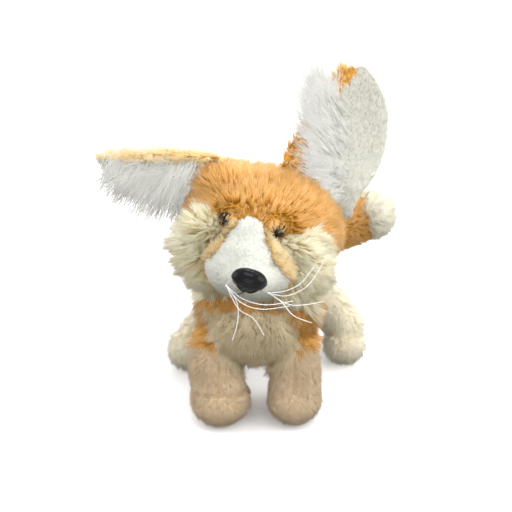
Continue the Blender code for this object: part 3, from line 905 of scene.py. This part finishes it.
def leg_flow(points, normals):
    run = np.zeros_like(points)
    run[:, 2] = -1.0
    run[:, 1] = -0.35
    return run


def line_flow(line, turn=SHIFT):
    """Along a curve, from its first point to its last."""
    spots = np.array([turn @ along(line, i / 40) for i in range(41)])
    runs = np.gradient(spots, axis=0)

    def flow(points, normals):
        gaps = np.linalg.norm(points[:, None] - spots[None], axis=2)
        return unit(runs[gaps.argmin(1)])

    return flow


def forward_flow(points, normals):
    """Forwards and up, for the pile that rolls over the right ear's edge."""
    return np.tile((-0.4, -0.9, 0.9), (len(points), 1))


class FOX_OT_skin(bpy.types.Operator):
    """Sews the stuffed skin of the head, body, legs and tail"""

    bl_idname = "fox.skin"
    bl_label = "Stuffed skin"

    def execute(self, context):
        skin = skin_form()
        mark_zones(skin)
        points = points_of(skin.data)
        normals = np.array([n.vector for n in skin.data.vertex_normals])
        for place, normal in (FRONT_ANKLE, HIND_ANKLE):
            off = (points - np.array(place)) @ unit(np.array([normal]))[0]
            dent = FOLD_DEPTH * np.exp(-(off / FOLD_WIDTH) ** 2) * at_fold(points, place)
            points -= normals * dent[:, None]
        for x, deepest, low, high in LEG_SEAMS:
            on = (points[:, 1] < deepest) & (points[:, 2] > low) & (points[:, 2] < high)
            dent = 1.4 * FOLD_DEPTH * np.exp(-((points[:, 0] - x) / FOLD_WIDTH) ** 2) * on
            points -= normals * dent[:, None]
        points[:, 2] = np.maximum(points[:, 2], SOLE)
        skin.data.vertices.foreach_set("co", points.reshape(-1).astype(np.float32))
        skin.data.update()
        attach(skin, "root")
        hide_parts(*(node for nodes, _ in ZONES.values() for node in nodes))
        return {"FINISHED"}


def ear_point(ear, across, through, share):
    """A point on an ear's cupped leaf, by its place across, through and up the leaf."""
    line, widths = ear["line"], ear["widths"]
    middle = along(line, share)
    up = (along(line, min(share + 0.05, 1.0)) - along(line, max(share - 0.05, 0.0))).normalized()
    sideways = ear["facing"].cross(up).normalized()
    front = up.cross(sideways).normalized()
    width = max(along(widths, share) - EAR_INSET, 0.8) * MM
    round_off = min(1.0, 3.0 * math.sqrt(max(0.0, share * (1.0 - share))))
    lean = EAR_CUP * across**2 * width / (max(widths) * MM)
    return SHIFT @ (
        middle + sideways * across * width * min(1.0, 2.0 * round_off)
        + front * (through * EAR_THICKNESS / 2 * round_off + lean)
    )


class FOX_OT_ears(bpy.types.Operator):
    """Cuts the two ears as cupped leaves of cloth, white inside and orange behind"""

    bl_idname = "fox.ears"
    bl_label = "Ears"

    def execute(self, context):
        for side, ear in EARS.items():
            bm = bmesh.new()
            bmesh.ops.create_uvsphere(bm, u_segments=48, v_segments=44, radius=1.0)
            fronts = {}
            for face in bm.faces:
                middle = face.calc_center_median()
                share = math.acos(max(-1.0, min(1.0, -middle.z))) / math.pi
                around = math.hypot(middle.x, middle.y) or 1.0
                band = middle.x / around * ear["side"]
                rim = middle.y / around > -0.35 if band < 0 else middle.y > 0
                turn = ear["tip_turn"] * max(0.0, min(1.0, (share - 0.84) / 0.13))
                edge = np.interp(share, EAR_SHARES, ear["orange_from"])
                fronts[face.index] = rim and band < edge + turn
            for vert in bm.verts:
                share = math.acos(max(-1.0, min(1.0, -vert.co.z))) / math.pi
                around = math.hypot(vert.co.x, vert.co.y) or 1.0
                share = 0.015 + share * 0.97
                vert.co = ear_point(ear, vert.co.x / around, vert.co.y / around, share)
            bmesh.ops.recalc_face_normals(bm, faces=bm.faces)
            obj = piece_of("ear_" + side + "_cloth", bm, smooth=False)
            lining, back = ZONE_ORDER.index("lining"), ZONE_ORDER.index("ear_back")
            mesh = obj.data
            zones = [lining if fronts[i] else back for i in range(len(mesh.polygons))]
            store_zones(obj, np.array(zones, np.int32))
            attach(obj, "root")
            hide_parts("ear_" + side)
        return {"FINISHED"}


class FOX_OT_head_coat(bpy.types.Operator):
    """Grows the orange shag of the head and the long pale ruffs of the cheeks"""

    bl_idname = "fox.head_coat"
    bl_label = "Head coat"

    def execute(self, context):
        coat = context.scene.fox_coat
        skin = bpy.data.objects["plush_skin"]
        head = sprout("coat_head", Region(skin, ("head",)), head_flow, 38000, coat.head_pile,
                      0.68 * MM, head_lift, seed=11, trim=head_trim, clump=0.9, spacing=0.09,
                      stray=0.45)
        dress(head, coat_colours("orange_shag", "orange", 0.36, 0.62, contrast=0.36))
        cheeks = sprout("coat_cheeks", Region(skin, ("cheeks",)), cheek_flow, 17000, coat.cheek_pile,
                        0.76 * MM, 58, seed=12, trim=cheek_trim, clump=0.98, spacing=0.055, stray=0.4)
        dress(cheeks, coat_colours("cream_shag", "cream", 1.0, 0.85, contrast=0.36, deep=2.2,
                                   painted_highlight=(1.0, 0.97, 0.84)))
        for side, place in EYES.items():
            self.brow(skin, side, HEAD @ place)
        return {"FINISHED"}

    def brow(self, skin, side, place):
        """Strands that stand up round an eye and lean over its rim, thickest above it."""
        rng = np.random.default_rng(31)
        middle = np.array(place)
        beside = Region(skin, ("head", "cheeks", "muzzle_sides"),
                        lambda face: (face.calc_center_median() - place).length < 0.011)
        roots, normals, flat = beside.scatter(BROW_COUNT, rng)
        off = np.linalg.norm(roots - middle, axis=1)
        around = unit(into_head(roots) - into_head(middle[None]))
        above = (around @ unit(np.array(BROW_HEADINGS[side])).T).max(1)
        keep = (off > BROW_RING[0]) & (off < BROW_RING[1]) & (rng.random(BROW_COUNT) < 0.05 + 0.26 * above)
        roots, normals, flat = roots[keep], normals[keep], flat[keep]
        count = len(roots)
        front = out_of_head(np.array([(0.0, -1.0, 0.0)]))
        inward = unit(middle - roots)
        inward = unit(inward - front * (inward * front).sum(1, keepdims=True))
        aim = middle + front * (EYE_RADIUS + 1.0 * MM)
        aim = aim - inward * EYE_RADIUS * rng.uniform(0.25, 1.05, count)[:, None]
        aim += rng.normal(0.0, 0.9 * MM, (count, 3))
        tips, _ = clumped(roots, aim, 0.2, 0.7, rng)
        bend = front * rng.uniform(0.8, 2.2, count)[:, None] * MM
        tone = rng.random(count)
        lie = unit(normals + front * 0.6)
        wide = 0.42 * MM * rng.uniform(0.7, 1.2, count)
        obj = spikes("coat_brow_" + side, roots - normals * ROOT_DEPTH, lie, tips + bend * 1.6 - roots,
                     -bend, wide, 3, tone, flat)
        dress(obj, coat_colours("brow_shag", "amber", 0.75, 0.8, contrast=0.25))
        obj.visible_shadow = False


class FOX_OT_muzzle_coat(bpy.types.Operator):
    """Grows the short dense pile of the muzzle"""

    bl_idname = "fox.muzzle_coat"
    bl_label = "Muzzle pile"

    def execute(self, context):
        coat = context.scene.fox_coat
        skin = bpy.data.objects["plush_skin"]
        muzzle = sprout("coat_muzzle", Region(skin, ("muzzle",)), muzzle_flow, 20000, coat.muzzle_pile,
                        0.42 * MM, 52, seed=13, clump=0.7, spacing=0.1, stray=0.6)
        dress(muzzle, coat_colours("white_pile", "white", 0.4, 0.8))
        sides = sprout("coat_muzzle_sides", Region(skin, ("muzzle_sides",)), strip_flow, 7000,
                       coat.muzzle_pile * 2.4, 0.62 * MM, 62, seed=26, clump=0.98, spacing=0.055,
                       stray=2.2)
        dress(sides, coat_colours("apricot_pile", "apricot", 1.0, 0.72, "amber", contrast=0.5))
        return {"FINISHED"}


class FOX_OT_body_coat(bpy.types.Operator):
    """Grows the shag of the back and sides and the pale bib"""

    bl_idname = "fox.body_coat"
    bl_label = "Body coat"

    def execute(self, context):
        coat = context.scene.fox_coat
        skin = bpy.data.objects["plush_skin"]
        torso = sprout("coat_torso", Region(skin, ("torso",)), torso_flow, 32000, coat.body_pile,
                       0.72 * MM, 48, seed=14, clump=0.9, spacing=0.08, stray=0.5)
        dress(torso, coat_colours("orange_shag", "orange"))
        bib = sprout("coat_bib", Region(skin, ("bib",)), bib_flow, 17000, coat.bib_pile,
                     0.66 * MM, 52, seed=15, clump=0.9, spacing=0.09, stray=0.7)
        dress(bib, coat_colours("sand_shag", "sand", 0.6, 0.55, contrast=0.36))
        return {"FINISHED"}


class FOX_OT_leg_coat(bpy.types.Operator):
    """Grows the short pile of the legs and paws"""

    bl_idname = "fox.leg_coat"
    bl_label = "Leg pile"

    def execute(self, context):
        coat = context.scene.fox_coat
        skin = bpy.data.objects["plush_skin"]
        for name, zone, fabric, count, length, width, seed in (
            ("coat_front_legs", "front_legs", "beige", 42000, coat.leg_pile, 0.52, 16),
            ("coat_hind_legs", "hind_legs", "ivory", 27000, coat.leg_pile * 1.7, 0.70, 17),
        ):
            legs = sprout(name, Region(skin, (zone,)), leg_flow, count, length,
                          width * MM, 50, seed=seed, clump=0.8, spacing=0.07, stray=0.8,
                          trim=seam_trim)
            dress(legs, coat_colours(fabric + "_pile", fabric, 0.4 if fabric == "beige" else 0.9, 0.93,
                                     deep=1.0 if fabric == "beige" else 1.8, contrast=0.2,
                                     painted_highlight=(1.0, 0.97, 0.86)))
            legs.visible_shadow = fabric == "beige"
        self.seams(skin)
        return {"FINISHED"}

    def seams(self, skin):
        """Thread sunk in the pile along the front seam of each leg and over the right paw; its dark colour is
        painted shade of the seam's crease.
        """
        place, normal = (Vector(part) for part in FRONT_ANKLE)
        lines = [[(x, low + (high - low) * i / 12) for i in range(13)] for x, _, low, high in LEG_SEAMS]
        lines.append([(PAW_SEAM[0] + PAW_SEAM[1] * i / 12, place.z) for i in range(13)])
        bm = bmesh.new()
        for line in lines:
            route = []
            for x, z in line:
                _, spot, _, _ = skin.ray_cast(Vector((x, -0.2, z)), Vector((0.0, 1.0, 0.0)))
                if line is lines[-1]:
                    z -= (spot.y - place.y) * normal.y / normal.z
                    _, spot, _, _ = skin.ray_cast(Vector((x, -0.2, z)), Vector((0.0, 1.0, 0.0)))
                route.append(spot - Vector((0.0, SEAM_HEIGHT, 0.0)))
            for _ in range(4):
                before, after = route[:1] + route, route[1:] + route[-1:]
                route = [(a + b + c) / 3 for a, b, c in zip(before, route, after)]
            thread(bm, route, 0.3)
        bmesh.ops.recalc_face_normals(bm, faces=bm.faces)
        # Painted shade: the thread is a darker beige than the pile, to draw the shaded crease of the seam.
        sewing = twisted("beige_thread", 0.7, 0.2, (0.46, 0.33, 0.20), (0.56, 0.41, 0.26))
        dress(piece_of("leg_seam_threads", bm), sewing)


class FOX_OT_tail_coat(bpy.types.Operator):
    """Grows the shag of the tail and its pale tip"""

    bl_idname = "fox.tail_coat"
    bl_label = "Tail coat"

    def execute(self, context):
        coat = context.scene.fox_coat
        skin = bpy.data.objects["plush_skin"]
        flow = line_flow(TAIL_LINE)
        tail = sprout("coat_tail", Region(skin, ("tail",)), flow, 17000, coat.tail_pile * 0.85,
                      0.70 * MM, 44, seed=18, clump=0.7, spacing=0.1, stray=0.5)
        dress(tail, coat_colours("amber_tail_shag", "amber", 0.5, 0.75, contrast=0.2))
        tip = sprout("coat_tail_tip", Region(skin, ("tail_tip",)), flow, 10000, coat.tail_pile,
                     0.68 * MM, 56, seed=19, clump=0.9, spacing=0.07, stray=0.8)
        dress(tip, coat_colours("pale_shag", "pale"))
        return {"FINISHED"}


class FOX_OT_ear_coat(bpy.types.Operator):
    """Grows the ear linings, the shag behind the ears and the long fluff inside them"""

    bl_idname = "fox.ear_coat"
    bl_label = "Ear coat"

    def execute(self, context):
        coat = context.scene.fox_coat
        for side, ear in EARS.items():
            cloth = bpy.data.objects["ear_" + side + "_cloth"]
            flow = line_flow(ear["line"])
            left = side == "left"
            inside = Region(cloth, ("lining",))
            lining = sprout("coat_ear_" + side + "_lining", inside, flow, 17000 if left else 8000,
                            coat.lining_pile, 0.5 * MM, 34, seed=20 + left, clump=0.35,
                            spacing=0.02, stray=0.4)
            dress(lining, coat_colours("lining_pile", "chalk", 0.5, 0.86, contrast=0.1, deep=1.6,
                                       painted_highlight=(0.92, 0.93, 0.88)))
            hem = inside.corners.mean(1)
            back = sprout("coat_ear_" + side + "_back", Region(cloth, ("ear_back",)),
                          flow if left else forward_flow, 17000 if left else 9000,
                          coat.ear_pile * (1.0 if left else 1.2), (0.52 if left else 0.62) * MM,
                          46 if left else 34, seed=22 + left, clump=0.95, spacing=0.07,
                          stray=0.6 if left else 0.9, lie_to=None if left else (0.0, -0.75, 0.65),
                          trim=lambda roots: near_trim(roots, hem, 1 * MM, ear["hem"] * MM, 0.3))
            dress(back, coat_colours("amber_shag", "amber", 0.6) if left
                  else coat_colours("light_ear_shag", "apricot", 0.7, 0.95, contrast=0.15, two_sided=True))
            back.visible_shadow = left
            self.fluff(side, 3600, 24 + left)
        return {"FINISHED"}

    def fluff(self, side, count, seed):
        """Long soft strands in locks, spreading from a line inside the ear."""
        rng = np.random.default_rng(seed)
        roots_line, headings_line = FLUFF[side]["roots"], FLUFF[side]["headings"]
        shares = (np.arange(count) + rng.random(count)) / count
        turn = np.array(SHIFT)[:3, 3]
        roots = np.array([along(roots_line, s) for s in shares]) + turn
        runs = np.array([along(headings_line, s) for s in shares])
        spread = FLUFF[side]["spread"] * MM
        roots += rng.normal(0.0, 1.0, (count, 3)) * np.array((spread * 0.6, 1.2 * MM, spread * 0.45))
        runs = runs * rng.uniform(0.45, 1.12, count)[:, None]
        runs += rng.normal(0.0, 4.6 * MM, (count, 3)) * np.array((1.0, 0.4, 1.0))
        over = (np.abs(shares - 0.5) < FLUFF[side]["over"]) & (rng.random(count) < 0.4)
        runs[over] = np.array(mm(-9, -3, 14)) + rng.normal(0.0, 4.0 * MM, (over.sum(), 3))
        tips, near = clumped(roots, roots + runs, 0.05, 0.6, rng)
        tips[:, 0] += 0.6 * np.maximum(REACH_LEFT - tips[:, 0], 0.0)
        size = np.linalg.norm(tips - roots, axis=1)
        droop = (rng.normal(0.0, 0.1, (count, 3)) + rng.normal(0.0, 0.1, (count, 3))[near]) * size[:, None]
        droop[:, 2] -= size * 0.08
        lie = unit(np.tile((0.1, -1.0, 0.35), (count, 1)) + runs / MM * 0.004)
        tone = 0.5 * rng.random(count) + 0.5 * rng.random(count)[near]
        wide = 0.36 * MM * rng.uniform(0.6, 1.3, count)
        flat = np.stack((0.02 + 0.96 * shares, rng.uniform(0.05, 0.95, count)), axis=1)
        obj = spikes("coat_ear_" + side + "_fluff", roots, lie, tips - roots, droop, wide, 3, tone, flat)
        white = bpy.context.scene.fox_coat.white
        material = bpy.data.materials.get("long_white_strands") or pile(
            "long_white_strands", shade(tuple(white), 1.13), shade(tuple(white), 1.17), (0.74, 0.73, 0.70),
            lift=0.8, sheen=0.3, contrast=0.34, two_sided=True)
        dress(obj, material)
        obj.visible_shadow = False
        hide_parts("ear_fluff_" + side)


def thread(bm, route, thick=0.25):
    """A round thread along a curve, a little thinner at its end."""
    steps, sides = 28, 8
    rings = []
    for i in range(steps + 1):
        share = i / steps
        middle = along(route, share)
        ahead = (along(route, min(1.0, share + 0.02)) - along(route, max(0.0, share - 0.02))).normalized()
        across = ahead.cross(Vector((0.3, 0.2, 1.0))).normalized()
        deep = ahead.cross(across)
        radius = (thick - 0.07 * share) * MM
        rings.append([
            bm.verts.new(middle + across * math.cos(a) * radius + deep * math.sin(a) * radius)
            for a in (2 * math.pi * k / sides for k in range(sides))
        ])
    for ring, after in zip(rings, rings[1:]):
        for k in range(sides):
            bm.faces.new((ring[k], ring[(k + 1) % sides], after[(k + 1) % sides], after[k]))
    bm.faces.new(rings[0])
    bm.faces.new(rings[-1])


class FOX_OT_nose(bpy.types.Operator):
    """Moulds the glossy black nose with its nostrils and groove"""

    bl_idname = "fox.nose"
    bl_label = "Nose"

    def execute(self, context):
        bm = bmesh.new()
        bmesh.ops.create_uvsphere(bm, u_segments=96, v_segments=64, radius=1.0)
        for vert in bm.verts:
            x, y, z = vert.co
            x *= 1.0 - 0.30 * max(0.0, -z)
            z -= 0.12 * (1.0 - abs(x)) * max(0.0, z)
            for side in (-1, 1):
                gap = math.hypot((x - side * 0.42) / 0.24, (z + 0.48) / 0.17)
                if y < 0:
                    y += 0.34 * math.exp(-gap * gap)
                    gap = math.hypot((x - side * 0.62) / 0.2, (z + 0.2) / 0.3)
                    y -= 0.05 * math.exp(-gap * gap)
            if y < 0:
                y += 0.16 * math.exp(-(x / 0.08) ** 2) * max(0.0, min(1.0, (-0.1 - z) / 0.5))
            vert.co = (x, y, z)
        bm.transform(HEAD @ Matrix.Translation(NOSE_PLACE) @ Matrix.Rotation(math.radians(3.0), 4, "Y")
                     @ Matrix.Diagonal((*NOSE_RADII, 1.0)))
        nose = piece_of("nose_moulded", bm)
        finish = Finish("black_gloss_plastic", Specular_IOR_Level=0.1)
        grain = finish.noise(900.0, 3.0)
        worn = finish.noise(160.0, 2.0)
        material = finish.feed(
            Base_Color=finish.blend(finish.between(worn, 0.3, 0.7), (0.006, 0.006, 0.007),
                                    (0.013, 0.013, 0.013)),
            Roughness=finish.between(worn, 0.3, 0.8, 0.04, 0.09),
            Normal=finish.bump(grain, 0.08, 0.0002),
        )
        dress(nose, material)
        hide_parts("nose")
        bm = bmesh.new()
        thread(bm, STITCH, 0.42)
        bm.transform(HEAD)
        bmesh.ops.recalc_face_normals(bm, faces=bm.faces)
        sewing = twisted("dark_thread", 0.6, 0.3, (0.05, 0.035, 0.05), (0.12, 0.09, 0.11))
        dress(piece_of("mouth_stitch", bm), sewing)
        return {"FINISHED"}


class FOX_OT_eyes(bpy.types.Operator):
    """Sets the two dark glossy eyes"""

    bl_idname = "fox.eyes"
    bl_label = "Eyes"

    def execute(self, context):
        finish = Finish("dark_brown_gloss", Specular_IOR_Level=0.13, Roughness=0.04)
        iris = finish.attribute("iris")
        streak = finish.noise(700.0, 2.0)
        colour = finish.blend(finish.between(iris, 0.55, 0.75), (0.006, 0.005, 0.005), (0.018, 0.009, 0.005))
        colour = finish.blend(finish.between(iris, 0.9, 1.0), colour, (0.008, 0.006, 0.006))
        colour = finish.blend(finish.between(streak, 0.4, 0.7, 0.0, 0.35), colour, (0.02, 0.009, 0.005))
        material = finish.feed(Base_Color=colour)
        for side, place in EYES.items():
            bm = bmesh.new()
            bmesh.ops.create_uvsphere(bm, u_segments=48, v_segments=32, radius=EYE_RADIUS)
            for vert in bm.verts:
                if vert.co.y < 0:
                    vert.co.y *= 1.06
            rings = [min(1.0, math.hypot(v.co.x, v.co.z) / EYE_RADIUS) if v.co.y < 0 else 1.0
                     for v in bm.verts]
            bm.transform(HEAD @ Matrix.Translation(place))
            eye = piece_of("eye_" + side + "_bead", bm)
            eye.data.attributes.new("iris", "FLOAT", "POINT").data.foreach_set("value", rings)
            dress(eye, material)
            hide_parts("eye_" + side)
        return {"FINISHED"}


class FOX_OT_whiskers(bpy.types.Operator):
    """Strings the white thread whiskers through the muzzle"""

    bl_idname = "fox.whiskers"
    bl_label = "Whiskers"

    def execute(self, context):
        material = twisted("white_thread", 0.38, 0.5, (0.80, 0.81, 0.80), (0.95, 0.95, 0.94), 0.2)
        for side, routes in WHISKERS.items():
            bm = bmesh.new()
            for route in routes:
                thread(bm, route)
            bmesh.ops.create_uvsphere(bm, u_segments=16, v_segments=10, radius=0.6 * MM,
                                      matrix=Matrix.Translation(routes[0][0]))
            bm.transform(HEAD)
            bmesh.ops.recalc_face_normals(bm, faces=bm.faces)
            threads = piece_of("whisker_threads_" + side, bm)
            dress(threads, material)
            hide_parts("whiskers_" + side)
        return {"FINISHED"}


class FOX_OT_stage(bpy.types.Operator):
    """Lays the pale floor and sets the soft lights and the camera"""

    bl_idname = "fox.stage"
    bl_label = "Stage"

    def execute(self, context):
        stage = context.scene.fox_stage
        look = Vector(stage.look_at)
        context.scene.view_settings.view_transform = "Standard"
        self.floor()
        self.lights(stage, look)
        back = Vector((
            math.sin(stage.azimuth) * math.cos(stage.elevation),
            -math.cos(stage.azimuth) * math.cos(stage.elevation),
            math.sin(stage.elevation),
        ))
        camera = bpy.data.objects.new("camera", bpy.data.cameras.new("camera"))
        camera.data.lens = stage.lens
        camera.data.sensor_width = 36.0
        camera.data.clip_start = 0.01
        camera.location = look + back * stage.distance
        camera.rotation_mode = "QUATERNION"
        camera.rotation_quaternion = (-back).to_track_quat("-Z", "Y")
        context.scene.collection.objects.link(camera)
        context.scene.camera = camera
        return {"FINISHED"}

    def floor(self):
        bm = bmesh.new()
        bmesh.ops.create_grid(bm, x_segments=60, y_segments=60, size=30.0)
        floor = piece_of("floor", bm, smooth=False)
        finish = Finish("pale_floor", Roughness=0.9, Specular_IOR_Level=0.1)
        soft = finish.noise(3.0, 2.0)
        floor.data.materials.append(finish.feed(
            Base_Color=finish.blend(finish.between(soft, 0.3, 0.7), (0.95, 0.95, 0.95), (0.96, 0.96, 0.96))))
        floor.visible_diffuse = False

    def lights(self, stage, look):
        world = bpy.data.worlds.new("studio")
        bpy.context.scene.world = world
        world.use_nodes = True
        nodes, links = world.node_tree.nodes, world.node_tree.links
        heading = nodes.new("ShaderNodeSeparateXYZ")
        links.new(nodes.new("ShaderNodeTexCoord").outputs["Generated"], heading.inputs["Vector"])
        dome = nodes.new("ShaderNodeValToRGB")
        dome.color_ramp.elements[0].position = 0.42
        dome.color_ramp.elements[0].color = (stage.below, stage.below * 0.88, stage.below * 0.7, 1.0)
        dome.color_ramp.elements[1].position = 0.50
        dome.color_ramp.elements[1].color = (1.0, 1.0, 1.0, 1.0)
        half = nodes.new("ShaderNodeMath")
        half.operation = "MULTIPLY_ADD"
        half.inputs[1].default_value = 0.5
        half.inputs[2].default_value = 0.5
        links.new(heading.outputs["Z"], half.inputs[0])
        links.new(half.outputs[0], dome.inputs["Fac"])
        links.new(dome.outputs["Color"], nodes["Background"].inputs["Color"])
        nodes["Background"].inputs["Strength"].default_value = stage.fill
        for name, offset, size, power in (
            ("key", (0.12, -0.15, 0.95), 0.45, stage.key),
            ("front", (0.12, -0.95, 0.35), 0.7, stage.front),
            ("side", (0.7, -0.1, 0.4), 0.6, stage.key * 1.5),
            ("other side", (-0.7, 0.0, 0.4), 0.6, stage.key * 0.85),
            ("back", (0.25, 0.7, 0.6), 0.6, stage.key * 2.0),
        ):
            light = bpy.data.lights.new(name, "AREA")
            light.shape = "DISK"
            light.size = size
            light.energy = power
            obj = bpy.data.objects.new(name, light)
            obj.location = look + Vector(offset)
            obj.rotation_mode = "QUATERNION"
            obj.rotation_quaternion = (-Vector(offset)).to_track_quat("-Z", "Y")
            bpy.context.scene.collection.objects.link(obj)


STEPS = (
    "skin", "ears", "head_coat", "muzzle_coat", "body_coat", "leg_coat", "tail_coat", "ear_coat",
    "nose", "eyes", "whiskers", "stage",
)


class FOX_PT_sidebar(bpy.types.Panel):
    """Lists the steps that dress the fox, with their sizes and colours"""

    bl_idname = "FOX_PT_sidebar"
    bl_label = "Plush fennec fox"
    bl_space_type = "VIEW_3D"
    bl_region_type = "UI"
    bl_category = "Fox"

    def draw(self, context):
        for settings in (context.scene.fox_coat, context.scene.fox_stage):
            for name in settings.__annotations__:
                self.layout.prop(settings, name)
        for step in STEPS:
            self.layout.operator("fox." + step)


CLASSES = (
    FoxCoatSettings, FoxStageSettings, FOX_OT_skin, FOX_OT_ears, FOX_OT_head_coat, FOX_OT_muzzle_coat,
    FOX_OT_body_coat, FOX_OT_leg_coat, FOX_OT_tail_coat, FOX_OT_ear_coat, FOX_OT_nose, FOX_OT_eyes,
    FOX_OT_whiskers, FOX_OT_stage, FOX_PT_sidebar,
)


def register():
    for cls in CLASSES:
        bpy.utils.register_class(cls)
    bpy.types.Scene.fox_coat = PointerProperty(type=FoxCoatSettings)
    bpy.types.Scene.fox_stage = PointerProperty(type=FoxStageSettings)


def unregister():
    del bpy.types.Scene.fox_stage
    del bpy.types.Scene.fox_coat
    for cls in reversed(CLASSES):
        bpy.utils.unregister_class(cls)


def main():
    register()
    for step in STEPS:
        getattr(bpy.ops.fox, step)()


if __name__ == "__main__":
    main()
